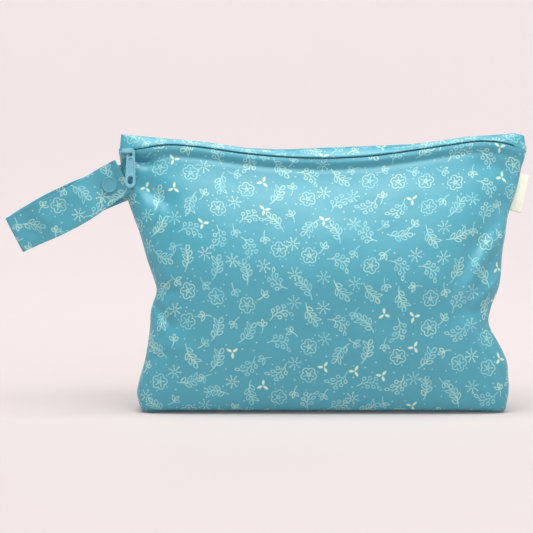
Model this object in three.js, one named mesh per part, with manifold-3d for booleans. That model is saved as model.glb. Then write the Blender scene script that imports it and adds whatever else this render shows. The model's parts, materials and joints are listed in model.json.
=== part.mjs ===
// A cloth diaper wet bag: a pouch that stands on a boxed base, with a zip across the front
// just below its top fold, a snap strap in the left seam and a label in the right one.
// Millimetres, +Z up. The front faces -Y and the origin is the middle of the base.

import * as THREE from "three";
import { mergeVertices } from "three/addons/utils/BufferGeometryUtils.js";
import Module from "manifold-3d";

const wasm = await Module();
wasm.setup();

// Bag body
const bagWidth = 310;
const cornerHeight = 212;
const topSag = 12;
const bandHeight = 6.8;
const lipSag = 13.2;
const frontDepth = 40;
const backDepth = 34;
const clothThickness = 1.2;
const seamGap = 0.3;
const baseSeamShift = 6;
const tuckReach = 11;
const bandTurn = 88;
const bandNarrowing = 0.01;

// Folds in the front cloth
const foldWidth = 10;
const foldDepth = 4;

// Zip
const grooveLift = 0.5;
const grooveWidth = 1.5;
const zipInset = 9;
const tapeWidth = 9;
const tapeThickness = 0.9;
const upperTapeTurn = 80;
const chainWidth = 4.2;
const chainThickness = 1.5;
const chainLift = 1.2;
const pieceGap = 0.3;

// Slider
const sliderInset = 6.4;
const sliderLength = 8.6;
const sliderHeight = 7.6;
const sliderPlate = 1.2;
const sliderThroat = 2;
const sliderProud = 1;
const sliderLean = 16;
const neckRadius = 1.4;
const legRadius = 1;
const legSpacing = 5.8;
const bridgeThickness = 1.5;

// Zip pull
const pullLength = 31;
const pullTopWidth = 6.2;
const pullWidth = 8;
const pullThickness = 2.2;
const pullRim = 0.9;
const pullRecess = 0.6;
const pullSlotLength = 6.4;
const pullSlotWidth = 3.8;
const pullSlotEnd = 2.6;

// Strap
const strapWidth = 29;
const strapLength = 95;
const strapPly = 1.4;
const strapSlope = 28.6;
const strapFan = 3;
const strapBow = 2.4;
const strapDrop = 31.8;
const strapOverlap = 1.4;
const strapForward = 1.2;
const strapEndForward = 8.8;
const strapBulge = 6.4;
const strapPinch = 1.2;
const strapSewn = 8;

// Snap
const snapDiameter = 12.4;
const snapInset = 12.9;
const snapDrop = 1;
const snapCapHeight = 1.5;
const snapPostRadius = 1.3;
const snapPartDiameter = 10.4;
const snapMargin = 1;
const socketHeight = 1.7;
const studHeight = 1.3;
const studNubRadius = 2;
const studNubHeight = 1;

// Label
const labelLength = 29;
const labelReach = 7.6;
const labelPly = 0.7;
const labelFoldGap = 0.4;
const labelDrop = 44.4;

// Fineness of the meshed shapes
const frontColumns = 40;
const ringSpacing = 9.5;
const bandRings = 4;
const zipSteps = 30;
const tapeSteps = 3;
const foldSteps = 16;
const strapSteps = 24;
const turnSteps = 6;
const cornerSamples = 120;
const roundSides = 16;
const weldDistance = 1e-4;
const sideFade = 4;

const halfWidth = bagWidth / 2;
const far = bagWidth + cornerHeight;
const degrees = Math.PI / 180;

// Across the bag, from -1 at its left seam to 1 at its right one: how much of their sag the
// top fold and the zip's lip have
const topLine = [
  { across: -1.0, top: 0.06, lip: 0.66 },
  { across: -0.9, top: 0.17, lip: 0.47 },
  { across: -0.76, top: 0.35, lip: 0.24 },
  { across: -0.6, top: 0.68, lip: 0.37 },
  { across: -0.4, top: 0.9, lip: 0.7 },
  { across: -0.2, top: 1.0, lip: 0.92 },
  { across: 0.0, top: 0.9, lip: 1.0 },
  { across: 0.2, top: 0.8, lip: 0.91 },
  { across: 0.38, top: 0.71, lip: 0.66 },
  { across: 0.58, top: 0.5, lip: 0.31 },
  { across: 0.77, top: 0.17, lip: 0.03 },
  { across: 0.88, top: 0.07, lip: 0.12 },
  { across: 1.0, top: 0.0, lip: 0.5 },
];

// Level sections of the bag, from the base at 0 to the lip at 1: left and right are shares of
// half the width, front and back of their depths, square is the power of the rounded outline
// and tuck the share of its reach by which the side seam is folded in
const sections = [
  { rise: 0.0, left: 0.868, right: 0.88, front: 0.53, back: 0.62, square: 8.0, tuck: 0 },
  { rise: 0.012, left: 0.89, right: 0.899, front: 0.61, back: 0.7, square: 7.5, tuck: 0 },
  { rise: 0.04, left: 0.906, right: 0.907, front: 0.67, back: 0.77, square: 6.6, tuck: 0 },
  { rise: 0.08, left: 0.916, right: 0.918, front: 0.73, back: 0.82, square: 5.6, tuck: 0.1 },
  { rise: 0.14, left: 0.905, right: 0.92, front: 0.8, back: 0.87, square: 4.6, tuck: 0.3 },
  { rise: 0.2, left: 0.887, right: 0.915, front: 0.86, back: 0.91, square: 4.0, tuck: 0.5 },
  { rise: 0.26, left: 0.877, right: 0.884, front: 0.91, back: 0.95, square: 3.6, tuck: 0.7 },
  { rise: 0.34, left: 0.868, right: 0.834, front: 0.95, back: 0.99, square: 3.3, tuck: 0.9 },
  { rise: 0.4, left: 0.866, right: 0.846, front: 0.98, back: 1.0, square: 3.1, tuck: 1.0 },
  { rise: 0.475, left: 0.836, right: 0.881, front: 1.0, back: 1.0, square: 3.1, tuck: 0.9 },
  { rise: 0.53, left: 0.856, right: 0.894, front: 1.0, back: 0.98, square: 3.0, tuck: 0.8 },
  { rise: 0.6, left: 0.886, right: 0.9, front: 0.96, back: 0.93, square: 2.9, tuck: 0.6 },
  { rise: 0.68, left: 0.914, right: 0.916, front: 0.86, back: 0.83, square: 2.8, tuck: 0.4 },
  { rise: 0.76, left: 0.945, right: 0.927, front: 0.715, back: 0.69, square: 2.7, tuck: 0.2 },
  { rise: 0.84, left: 0.966, right: 0.949, front: 0.54, back: 0.53, square: 2.6, tuck: 0 },
  { rise: 0.9, left: 0.981, right: 0.968, front: 0.39, back: 0.4, square: 2.5, tuck: 0 },
  { rise: 0.93, left: 0.987, right: 0.976, front: 0.3, back: 0.34, square: 2.5, tuck: 0 },
  { rise: 0.955, left: 0.992, right: 0.986, front: 0.25, back: 0.28, square: 2.5, tuck: 0 },
  { rise: 0.978, left: 0.997, right: 0.994, front: 0.28, back: 0.23, square: 2.5, tuck: 0 },
  { rise: 1.0, left: 1.0, right: 1.0, front: 0.26, back: 0.19, square: 2.5, tuck: 0 },
];

// Folds of the front cloth, each a curve from one end by a middle point to the other end: x in
// shares of half the width, z of the lip's height, width and depth of a whole fold; a depth
// above 0 is a valley and one below 0 a ridge
const folds = [
  { x0: 0.95, z0: 0.78, x1: 0.74, z1: 0.7, x2: 0.6, z2: 0.5, width: 1.0, depth: 1.0 },
  { x0: 0.88, z0: 0.69, x1: 0.72, z1: 0.61, x2: 0.67, z2: 0.41, width: 0.6, depth: -0.6 },
  { x0: 0.87, z0: 0.64, x1: 0.74, z1: 0.53, x2: 0.67, z2: 0.38, width: 0.7, depth: 0.8 },
  { x0: 0.85, z0: 0.51, x1: 0.79, z1: 0.47, x2: 0.73, z2: 0.4, width: 0.6, depth: -0.6 },
  { x0: 0.88, z0: 0.43, x1: 0.8, z1: 0.405, x2: 0.72, z2: 0.37, width: 0.6, depth: 0.9 },
  { x0: 0.84, z0: 0.38, x1: 0.77, z1: 0.36, x2: 0.68, z2: 0.32, width: 0.7, depth: -0.7 },
  { x0: 0.72, z0: 0.935, x1: 0.86, z1: 0.93, x2: 0.97, z2: 0.93, width: 0.6, depth: 0.4 },
  { x0: 0.91, z0: 0.88, x1: 0.92, z1: 0.81, x2: 0.9, z2: 0.75, width: 1.0, depth: 0.5 },
  { x0: -0.93, z0: 0.9, x1: -0.85, z1: 0.86, x2: -0.76, z2: 0.8, width: 0.8, depth: 0.9 },
  { x0: -0.84, z0: 0.52, x1: -0.8, z1: 0.42, x2: -0.68, z2: 0.355, width: 0.7, depth: 0.9 },
  { x0: -0.84, z0: 0.36, x1: -0.76, z1: 0.325, x2: -0.66, z2: 0.32, width: 0.8, depth: -0.7 },
  { x0: -0.02, z0: 0.97, x1: -0.02, z1: 0.9, x2: -0.01, z2: 0.8, width: 1.8, depth: 0.5 },
];

// A value from a table's column, on a smooth curve through its rows
function readTable(rows, along, column, at) {
  const slope = (i) => {
    const before = rows[Math.max(i - 1, 0)];
    const after = rows[Math.min(i + 1, rows.length - 1)];
    return (after[column] - before[column]) / (after[along] - before[along]);
  };
  let i = 0;
  while (i < rows.length - 2 && at > rows[i + 1][along]) i += 1;
  const span = rows[i + 1][along] - rows[i][along];
  const t = THREE.MathUtils.clamp((at - rows[i][along]) / span, 0, 1);
  const blend = t * t * (3 - 2 * t);
  const leave = slope(i) * span * t * (1 - t) * (1 - t);
  const arrive = slope(i + 1) * span * t * t * (1 - t);
  return rows[i][column] * (1 - blend) + rows[i + 1][column] * blend + leave - arrive;
}

// Heights of the top fold and of the zip's lip, at a share across the bag
const topAt = (across) => cornerHeight - topSag * readTable(topLine, "across", "top", across);
const lipAt = (across) =>
  cornerHeight - bandHeight - lipSag * readTable(topLine, "across", "lip", across);

// The section at any share of the lip's height
function sectionAt(rise) {
  const section = {};
  for (const column of ["left", "right", "front", "back", "square", "tuck"]) {
    section[column] = readTable(sections, "rise", column, rise);
  }
  return section;
}

// Where a side seam stands at a height, side being -1 for the left one and 1 for the right one
function seamAt(side, height) {
  const section = sectionAt(height / lipAt(side));
  return side * (side < 0 ? section.left : section.right) * halfWidth;
}

// One quarter of a rounded outline, |x/a|^n + |y/b|^n = 1, from the side (a, 0) to the middle
// (0, b), as points the same distance apart along the curve
function quarterOutline(a, b, power, count) {
  const points = [];
  const lengths = [0];
  for (let i = 0; i <= cornerSamples; i += 1) {
    const angle = (Math.PI / 2) * (i / cornerSamples);
    const x = i === cornerSamples ? 0 : a * Math.cos(angle) ** (2 / power);
    const y = i === 0 ? 0 : b * Math.sin(angle) ** (2 / power);
    points.push([x, y]);
    if (i > 0) {
      const [lastX, lastY] = points[i - 1];
      lengths.push(lengths[i - 1] + Math.hypot(x - lastX, y - lastY));
    }
  }
  const even = [];
  let i = 0;
  for (let k = 0; k <= count; k += 1) {
    const want = (lengths[cornerSamples] * k) / count;
    while (i < cornerSamples - 1 && lengths[i + 1] < want) i += 1;
    const t = (want - lengths[i]) / (lengths[i + 1] - lengths[i]);
    const x = points[i][0] * (1 - t) + points[i + 1][0] * t;
    const y = points[i][1] * (1 - t) + points[i + 1][1] * t;
    even.push([x, y]);
  }
  return even;
}

// A half outline from the left seam by the middle to the right seam
function halfOutline(left, right, depth, power, count) {
  const leftQuarter = quarterOutline(left, depth, power, count / 2).map(([x, y]) => [-x, y]);
  const rightQuarter = quarterOutline(right, depth, power, count / 2).reverse();
  return leftQuarter.concat(rightQuarter.slice(1));
}

// Each fold as points along its curve, with how strong it is there, fading at both ends
const foldTrails = folds.map((fold) => {
  const at = (x, z) => new THREE.Vector2(x * halfWidth, z * lipAt(x));
  const ends = [at(fold.x0, fold.z0), at(fold.x1, fold.z1), at(fold.x2, fold.z2)];
  const curve = new THREE.QuadraticBezierCurve(...ends);
  const trail = [];
  for (let i = 1; i < foldSteps; i += 1) {
    const strength = Math.sqrt(Math.sin((Math.PI * i) / foldSteps));
    trail.push({ point: curve.getPoint(i / foldSteps), strength });
  }
  return { trail, reach: fold.width * foldWidth, depth: fold.depth * foldDepth };
});

// How far the front cloth is pushed in at a place on it
function foldAt(x, z) {
  const here = new THREE.Vector2(x, z);
  let push = 0;
  for (const { trail, reach, depth } of foldTrails) {
    const felt = trail.map(({ point, strength }) =>
      strength * Math.exp(-((here.distanceTo(point) / reach) ** 2)));
    push += depth * Math.max(...felt);
  }
  return push;
}

// One ring of the bag, the front half from left to right and then the back half: width and
// depth scale the section, inset sets it in and heightAt gives its height across the bag
function bagRing({ section, width, depth, inset, pushed, heightAt }) {
  const left = section.left * width * halfWidth - inset;
  const right = section.right * width * halfWidth - inset;
  const front = (section.front * frontDepth - inset) * depth;
  const back = (section.back * backDepth - inset) * depth;
  const place = (x, y) => {
    const across = x < 0 ? x / left : x / right;
    const z = heightAt(across);
    const tucked = section.tuck * tuckReach * Math.exp(-((y / tuckReach) ** 2));
    const sideward = Math.abs(across) ** sideFade;
    const push = pushed && y < 0 ? foldAt(x, z) * (1 - sideward * sideward) : 0;
    return new THREE.Vector3(x - Math.sign(x) * tucked * sideward, y + push, z);
  };
  const frontHalf = halfOutline(left, right, front, section.square, frontColumns)
    .map(([x, y]) => place(x, -y));
  const backHalf = halfOutline(left, right, back, section.square, frontColumns / 2)
    .map(([x, y]) => place(x, y));
  return frontHalf.concat(backHalf.slice(1, -1).reverse());
}

// All rings of the bag, from the base by the lip to the top fold
function bagRings(inset) {
  const rings = [];
  const rises = [];
  for (let i = 0; i + 1 < sections.length; i += 1) {
    const rise = sections[i].rise;
    const gap = sections[i + 1].rise - rise;
    const steps = Math.max(1, Math.round((gap * lipAt(0)) / ringSpacing));
    for (let k = 0; k < steps; k += 1) rises.push(rise + (gap * k) / steps);
  }
  rises.push(1);
  for (const rise of rises) {
    const heightAt = (across) => inset * (1 - rise) + lipAt(across) * rise;
    const section = sectionAt(rise);
    rings.push(bagRing({ section, width: 1, depth: 1, inset, pushed: true, heightAt }));
  }
  for (let i = 1; i <= bandRings; i += 1) {
    const turn = (bandTurn * degrees * i) / bandRings;
    const heightAt = (across) =>
      lipAt(across) + (topAt(across) - inset - lipAt(across)) * Math.sin(turn);
    const width = 1 - bandNarrowing * (i / bandRings);
    const depth = Math.cos(turn);
    rings.push(bagRing({ section: sectionAt(1), width, depth, inset, pushed: false, heightAt }));
  }
  return rings;
}

// A closed solid from points and triangles, turned so that its faces point out
function solidFrom(points, triangles) {
  let volume = 0;
  for (const [a, b, c] of triangles) {
    volume += points[a].dot(new THREE.Vector3().crossVectors(points[b], points[c]));
  }
  const turned = volume > 0 ? triangles : triangles.map(([a, b, c]) => [a, c, b]);
  const mesh = new wasm.Mesh({
    numProp: 3,
    vertProperties: Float32Array.from(points.flatMap((p) => [p.x, p.y, p.z])),
    triVerts: Uint32Array.from(turned.flat()),
  });
  return new wasm.Manifold(mesh);
}

// The solid of a three.js geometry
function solidOf(geometry) {
  const bare = geometry.clone();
  bare.deleteAttribute("normal");
  bare.deleteAttribute("uv");
  const merged = mergeVertices(bare, weldDistance);
  const position = merged.getAttribute("position");
  const points = [];
  for (let i = 0; i < position.count; i += 1) {
    points.push(new THREE.Vector3().fromBufferAttribute(position, i));
  }
  const triangles = [];
  for (let i = 0; i < merged.index.count; i += 3) {
    const corners = [0, 1, 2].map((k) => merged.index.getX(i + k));
    if (new Set(corners).size === 3) triangles.push(corners);
  }
  return solidFrom(points, triangles);
}

// The three.js geometry of a solid
function geometryOf(solid) {
  const mesh = solid.getMesh();
  const geometry = new THREE.BufferGeometry();
  geometry.setAttribute("position", new THREE.BufferAttribute(mesh.vertProperties, 3));
  geometry.setIndex(new THREE.BufferAttribute(mesh.triVerts, 1));
  geometry.computeVertexNormals();
  return geometry;
}

// The side faces between rings of the same number of points
function sideFaces(rings) {
  const count = rings[0].length;
  const triangles = [];
  for (let r = 0; r + 1 < rings.length; r += 1) {
    for (let i = 0; i < count; i += 1) {
      const a = r * count + i;
      const b = r * count + ((i + 1) % count);
      triangles.push([a, b, b + count], [a, b + count, a + count]);
    }
  }
  return triangles;
}

// The bag's closed form, set in by a distance or grown by one below 0: its base and its top
// are closed by strips from the front half of the ring to the back half
function bagForm(inset) {
  const rings = bagRings(inset);
  const count = rings[0].length;
  const columns = frontColumns / 2;
  const backPoint = (i) => (i === 0 ? 0 : count - i);
  const triangles = sideFaces(rings);
  const top = (rings.length - 1) * count;
  for (let i = 0; i < columns; i += 1) {
    const near = backPoint(i);
    const next = i + 1 === columns ? frontColumns : backPoint(i + 1);
    const strip = [
      [near, 2 * i, 2 * i + 1],
      [near, 2 * i + 1, next],
      [next, 2 * i + 1, 2 * i + 2],
    ];
    for (const [a, b, c] of strip) {
      if (new Set([a, b, c]).size < 3) continue;
      triangles.push([a, c, b], [top + a, top + b, top + c]);
    }
  }
  return solidFrom(rings.flat(), triangles);
}

// A solid swept along stations: outlineAt gives a station's outline as pairs, with as many
// points at each, and placeAt where such a pair lies
function sweep(stations, outlineAt, placeAt) {
  const outlines = stations.map(outlineAt);
  const rings = outlines.map((outline, i) => outline.map((pair) => placeAt(stations[i], pair)));
  const count = rings[0].length;
  const triangles = sideFaces(rings);
  const last = (rings.length - 1) * count;
  const capOf = (outline, first, turned) => {
    const flat = outline.map(([u, v]) => new THREE.Vector2(u, v));
    const forward = THREE.ShapeUtils.area(flat) > 0;
    for (const [a, b, c] of THREE.ShapeUtils.triangulateShape(flat, [])) {
      const ahead = THREE.ShapeUtils.area([flat[a], flat[b], flat[c]]) > 0 === forward;
      const [p, q] = ahead === turned ? [c, b] : [b, c];
      triangles.push([first + a, first + p, first + q]);
    }
  };
  capOf(outlines[0], 0, true);
  capOf(outlines[outlines.length - 1], last, false);
  return solidFrom(rings.flat(), triangles);
}

// Evenly spaced values from one end to the other
function spaced(from, to, steps) {
  return Array.from({ length: steps + 1 }, (_, i) => from + ((to - from) * i) / steps);
}

const acrossAt = (x) => THREE.MathUtils.clamp(x / halfWidth, -1, 1);
const onLevelX = (x, [y, z]) => new THREE.Vector3(x, y, z);
const wholeWidth = [-far, ...spaced(-halfWidth, halfWidth, frontColumns), far];

// How much of the lip's depth is left at x, where the bag narrows to its side seams
function narrowing(x, inset) {
  const power = sectionAt(1).square;
  const share = Math.min(Math.abs(x) / (halfWidth - inset), 1);
  return (1 - share ** power) ** (1 / power);
}

// The inner face of the front cloth at x, at a share of the lip's height
function innerFront(x, rise) {
  const section = sectionAt(rise);
  const half = (x < 0 ? section.left : section.right) * halfWidth - clothThickness;
  const share = Math.min(Math.abs(x) / half, 1);
  const depth = section.front * frontDepth - clothThickness;
  const push = foldAt(x, rise * lipAt(acrossAt(x))) * (1 - share ** (2 * sideFade));
  return push - depth * (1 - share ** section.square) ** (1 / section.square);
}

// The zip runs from the slider, at the left end, to the right end
const sliderX = -halfWidth + sliderInset;
const zipStart = sliderX + sliderLength / 2 + 2 * pieceGap;
const zipEnd = halfWidth - zipInset;
const zipStations = spaced(zipStart, zipEnd, zipSteps);

// The groove above the lip is open along the zip and only a seam's gap past its ends
function grooveAt(x) {
  const open = Math.min(
    THREE.MathUtils.smoothstep(x, zipStart - grooveWidth, zipStart + grooveWidth),
    1 - THREE.MathUtils.smoothstep(x, zipEnd - grooveWidth, zipEnd + 2 * grooveWidth),
  );
  return seamGap + (grooveWidth - seamGap) * open;
}

// The space that the front panel's cloth takes: before the side seams, under the lip, and at
// the base as far back as the base seam
const baseStep = clothThickness + seamGap;
const frontSpace = sweep(wholeWidth, (x) => [
  [-far, -far],
  [baseSeamShift, -far],
  [baseSeamShift, baseStep],
  [-seamGap / 2, baseStep],
  [-seamGap / 2, lipAt(acrossAt(x)) + grooveLift],
  [-far, lipAt(acrossAt(x)) + grooveLift],
], onLevelX);
const backSpace = sweep(wholeWidth, (x) => [
  [far, -far],
  [baseSeamShift + seamGap, -far],
  [baseSeamShift + seamGap, baseStep + seamGap],
  [seamGap / 2, baseStep + seamGap],
  [seamGap / 2, lipAt(acrossAt(x)) + grooveLift + grooveAt(x)],
  [-far, lipAt(acrossAt(x)) + grooveLift + grooveAt(x)],
  [-far, far],
  [far, far],
], onLevelX);

// The slider's own frame: x along the zip, y up in the plane of its plates, z out of the bag
const sliderY = innerFront(sliderX, 1) - clothThickness - sliderProud;
const sliderZ = lipAt(acrossAt(sliderX)) - grooveLift;
const lean = sliderLean * degrees;
const sliderCorner = sliderHeight / 4;
const sliderFrame = new THREE.Matrix4().makeBasis(
  new THREE.Vector3(1, 0, 0),
  new THREE.Vector3(0, Math.sin(lean), Math.cos(lean)),
  new THREE.Vector3(0, -Math.cos(lean), Math.sin(lean)),
).setPosition(sliderX, sliderY, sliderZ);

// A plate of rounded outline in the slider's frame, from one height to another
function plate(width, height, corner, from, to) {
  const shape = new THREE.Shape();
  const w = width / 2;
  const h = height / 2;
  shape.moveTo(-w + corner, -h);
  shape.lineTo(w - corner, -h);
  shape.absarc(w - corner, -h + corner, corner, -Math.PI / 2, 0, false);
  shape.lineTo(w, h - corner);
  shape.absarc(w - corner, h - corner, corner, 0, Math.PI / 2, false);
  shape.lineTo(-w + corner, h);
  shape.absarc(-w + corner, h - corner, corner, Math.PI / 2, Math.PI, false);
  shape.lineTo(-w, -h + corner);
  shape.absarc(-w + corner, -h + corner, corner, Math.PI, 1.5 * Math.PI, false);
  const solid = new THREE.ExtrudeGeometry(shape, {
    depth: to - from,
    bevelEnabled: false,
    curveSegments: roundSides / 4,
  });
  return solidOf(solid.translate(0, 0, from));
}

// A round post in the slider's frame, from one height to another
function post(x, radius, from, to) {
  const cylinder = new THREE.CylinderGeometry(radius, radius, to - from, roundSides);
  return solidOf(cylinder.rotateX(Math.PI / 2).translate(x, 0, (from + to) / 2));
}

// The slider: a plate inside the bag and one outside joined by a neck, and a bridge whose two
// legs stand on the outer plate; the pull's eye turns on the right leg
const pullBack = sliderPlate + pieceGap;
const bridgeFoot = pullBack + pullThickness + pieceGap;
const legX = legSpacing / 2;
function sliderSolid() {
  const bridgeLength = legSpacing + 2 * legRadius + 2 * pieceGap;
  const innerPlate = plate(
    sliderLength, sliderHeight, sliderCorner, -sliderThroat - sliderPlate, -sliderThroat);
  const outerPlate = plate(sliderLength, sliderHeight, sliderCorner, 0, sliderPlate);
  const bridge = plate(
    bridgeLength, 2 * legRadius + pieceGap, legRadius, bridgeFoot, bridgeFoot + bridgeThickness);
  const overlap = sliderPlate / 2;
  return innerPlate
    .add(post(-legX / 2, neckRadius, -sliderThroat - overlap, overlap))
    .add(outerPlate)
    .add(post(legX, legRadius, overlap, bridgeFoot + overlap))
    .add(post(-legX, legRadius, overlap, bridgeFoot + overlap))
    .add(bridge)
    .transform(sliderFrame.elements);
}

// The opening in the cloth round the slider's neck and inner plate
function sliderNotch() {
  const clear = 2 * pieceGap;
  return plate(
    sliderLength + clear, sliderHeight + clear, sliderCorner,
    -sliderThroat - sliderPlate - pieceGap, far,
  ).transform(sliderFrame.elements);
}

// The pull's outline below its eye, set in by a rim: a round head, slightly spreading sides
// and a round tip; the eye is at the origin
function pullOutline(inset) {
  const head = pullTopWidth / 2 - inset;
  const tip = pullWidth / 2 - inset;
  const tipY = pullTopWidth / 2 - pullLength + pullWidth / 2;
  const shape = new THREE.Shape();
  shape.moveTo(head, 0);
  shape.absarc(0, 0, head, 0, Math.PI, false);
  shape.lineTo(-tip, tipY);
  shape.absarc(0, tipY, tip, Math.PI, 2 * Math.PI, false);
  shape.lineTo(head, 0);
  return shape;
}

// A flat round-ended slot in the pull, from its top end to its bottom end
function pullSlot(top, bottom, radius) {
  const shape = new THREE.Shape();
  shape.moveTo(radius, top - radius);
  shape.absarc(0, top - radius, radius, 0, Math.PI, false);
  shape.lineTo(-radius, bottom + radius);
  shape.absarc(0, bottom + radius, radius, Math.PI, 2 * Math.PI, false);
  shape.lineTo(radius, top - radius);
  return shape;
}

// The pull: a flat plate with an eye, a face sunk inside a rim and an open slot near its tip
function pullSolid() {
  const depthOf = (shape, from, to) => solidOf(new THREE.ExtrudeGeometry(shape, {
    depth: to - from,
    bevelEnabled: false,
    curveSegments: roundSides / 2,
  }).translate(0, 0, from));
  const tipY = pullTopWidth / 2 - pullLength;
  const slotBottom = tipY + pullSlotEnd;
  const slotTop = slotBottom + pullSlotLength;
  const faceTop = -legRadius - pieceGap - 2 * pullRim;
  const face = pullSlot(faceTop, slotTop + pullRim, pullTopWidth / 2 - pullRim);
  const front = pullThickness + pullRecess;
  const eye = post(0, legRadius + pieceGap, -pullRecess, front);
  return depthOf(pullOutline(0), 0, pullThickness)
    .subtract(eye)
    .subtract(depthOf(pullSlot(slotTop, slotBottom, pullSlotWidth / 2), -pullRecess, front))
    .subtract(depthOf(face, pullThickness - pullRecess, front))
    .transform(new THREE.Matrix4().makeTranslation(legX, 0, pullBack).elements)
    .transform(sliderFrame.elements);
}

// The zip's chain of closed teeth as one bar, just behind the groove
function chainSolid() {
  return sweep(zipStations, (x) => {
    const top = lipAt(acrossAt(x)) + chainLift;
    const front = innerFront(x, 1) + pieceGap;
    return [
      [front, top - chainWidth],
      [front + chainThickness, top - chainWidth],
      [front + chainThickness, top],
      [front, top],
    ];
  }, onLevelX);
}

// The lower tape, sewn behind the lip of the front cloth
function lowerTape() {
  return sweep(zipStations, (x) => {
    const lip = lipAt(acrossAt(x));
    const top = lip + chainLift - chainWidth - pieceGap;
    const heights = spaced(top - tapeWidth, top, tapeSteps);
    const face = heights.map((z) => [innerFront(x, z / lip) + 2 * pieceGap, z]);
    const behind = face.map(([y, z]) => [y + tapeThickness, z]).reverse();
    return face.concat(behind);
  }, onLevelX);
}

// The upper tape, which follows the band of cloth over towards the top fold
function upperTape() {
  const curve = (x, inset, start, steps) => {
    const lip = lipAt(acrossAt(x));
    const height = topAt(acrossAt(x)) - lip - inset;
    const depth = (sectionAt(1).front * frontDepth - inset) * narrowing(x, clothThickness);
    const first = Math.asin(Math.min(start / height, 1));
    return spaced(first, upperTapeTurn * degrees, steps)
      .map((turn) => [-depth * Math.cos(turn), lip + height * Math.sin(turn)]);
  };
  return sweep(zipStations, (x) => {
    const start = chainLift + pieceGap;
    const face = clothThickness + 2 * pieceGap;
    const outside = curve(x, face, start, tapeSteps);
    const inside = curve(x, face + tapeThickness, start, tapeSteps).reverse();
    return outside.concat(inside);
  }, onLevelX);
}

// The strap: its far fold lies down and out from the bag, and both layers run from it to the
// bag, the front one ending free and the back one sewn into the side seam
const strapHeight = cornerHeight - strapDrop;
const strapEndX = seamAt(-1, strapHeight) + strapOverlap;
const slopeOf = (layer) => (strapSlope - (layer === "back" ? strapFan : 0)) * degrees;
const foldX = strapEndX - strapLength * Math.cos(slopeOf("front"));
const foldZ = strapHeight - strapLength * Math.sin(slopeOf("front"));
const snapStack = 3 * pieceGap + socketHeight + studHeight;

// How far forward the back layer lies in shares of strapForward, and the gap between the
// layers, at distances from the strap's free end
const snapFlat = snapPartDiameter / 2 + snapMargin;
const strapLayers = [
  { from: 0, forward: 0, gap: strapEndForward - strapPly },
  { from: snapInset - snapFlat, forward: 1, gap: snapStack },
  { from: snapInset + snapFlat, forward: 1, gap: snapStack },
  { from: 0.4 * strapLength, forward: 1, gap: strapBulge },
  { from: 0.7 * strapLength, forward: 1, gap: strapBulge },
  { from: 0.88 * strapLength, forward: 1.5, gap: 2 * strapPinch },
  { from: strapLength, forward: 2, gap: strapPinch },
];

// A value from a table's column, eased from row to row with no overshoot
function easedTable(rows, along, column, at) {
  let i = 0;
  while (i < rows.length - 2 && at > rows[i + 1][along]) i += 1;
  const ease = THREE.MathUtils.smoothstep(at, rows[i][along], rows[i + 1][along]);
  return THREE.MathUtils.lerp(rows[i][column], rows[i + 1][column], ease);
}

// The middle of a layer's thickness, at a distance from the free end
function layerY(layer, from) {
  const back = -strapForward * easedTable(strapLayers, "from", "forward", from);
  const gap = easedTable(strapLayers, "from", "gap", from);
  return layer === "back" ? back : back - strapPly - gap;
}

// How far a layer's middle line bows to its upper side: the front layer sags below the
// straight line and the back one rises over it
function bowAt(layer, from) {
  const wave = Math.sin(Math.PI * THREE.MathUtils.clamp(from / strapLength, 0, 1));
  return strapBow * (layer === "back" ? wave : -wave * wave);
}

// A place on the strap's middle line: slope is the layer's, in radians
function strapPlace(slope, from, y) {
  const out = strapLength - from;
  return new THREE.Vector3(foldX + out * Math.cos(slope), y, foldZ + out * Math.sin(slope));
}

// The way across a layer of the strap, towards its upper edge
function strapSide(slope) {
  return new THREE.Vector3(-Math.sin(slope), 0, Math.cos(slope));
}

// The strap as one ribbon: the front layer, the round far fold and the back layer
function strapSolid() {
  const turnRadius = (strapPinch + strapPly) / 2;
  const turnFrom = strapLength - turnRadius;
  const stations = [];
  for (const from of spaced(0, turnFrom, strapSteps)) {
    stations.push({ layer: "front", slope: slopeOf("front"), from, y: layerY("front", from) });
  }
  const middle = (layerY("front", turnFrom) + layerY("back", turnFrom)) / 2;
  for (const turn of spaced(0, Math.PI, turnSteps).slice(1, -1)) {
    const share = turn / Math.PI;
    const layer = share < 0.5 ? "front" : "back";
    const slope = slopeOf("front") * (1 - share) + slopeOf("back") * share;
    const from = turnFrom + turnRadius * Math.sin(turn);
    stations.push({ layer, slope, from, y: middle - turnRadius * Math.cos(turn) });
  }
  for (const from of spaced(turnFrom, -strapSewn, strapSteps)) {
    const y = layerY("back", Math.max(from, 0));
    stations.push({ layer: "back", slope: slopeOf("back"), from, y });
  }
  const centres = stations.map(({ layer, slope, from, y }) =>
    strapPlace(slope, from, y).addScaledVector(strapSide(slope), bowAt(layer, from)));
  const frames = stations.map(({ slope }, i) => {
    const ahead = centres[Math.min(i + 1, centres.length - 1)];
    const behind = centres[Math.max(i - 1, 0)];
    const wide = strapSide(slope);
    const thin = new THREE.Vector3().subVectors(ahead, behind).cross(wide).normalize();
    return { centre: centres[i], wide, thin };
  });
  const w = strapWidth / 2;
  const t = strapPly / 2;
  const ribbon = sweep(frames, () => [[-w, -t], [w, -t], [w, t], [-w, t]],
    ({ centre, wide, thin }, [u, v]) =>
      centre.clone().addScaledVector(wide, u).addScaledVector(thin, v));
  return ribbon.subtract(turnedPart(snapHole())).subtract(bagForm(-pieceGap));
}

// The snap: its axis runs from front to back through both layers
const snapCentre = strapPlace(slopeOf("front"), snapInset, 0)
  .addScaledVector(strapSide(slopeOf("front")), -snapDrop);
const holeClear = 4 * strapPly;
const frontFace = layerY("front", snapInset) - strapPly / 2;
const backFace = layerY("back", snapInset) + strapPly / 2;

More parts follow.
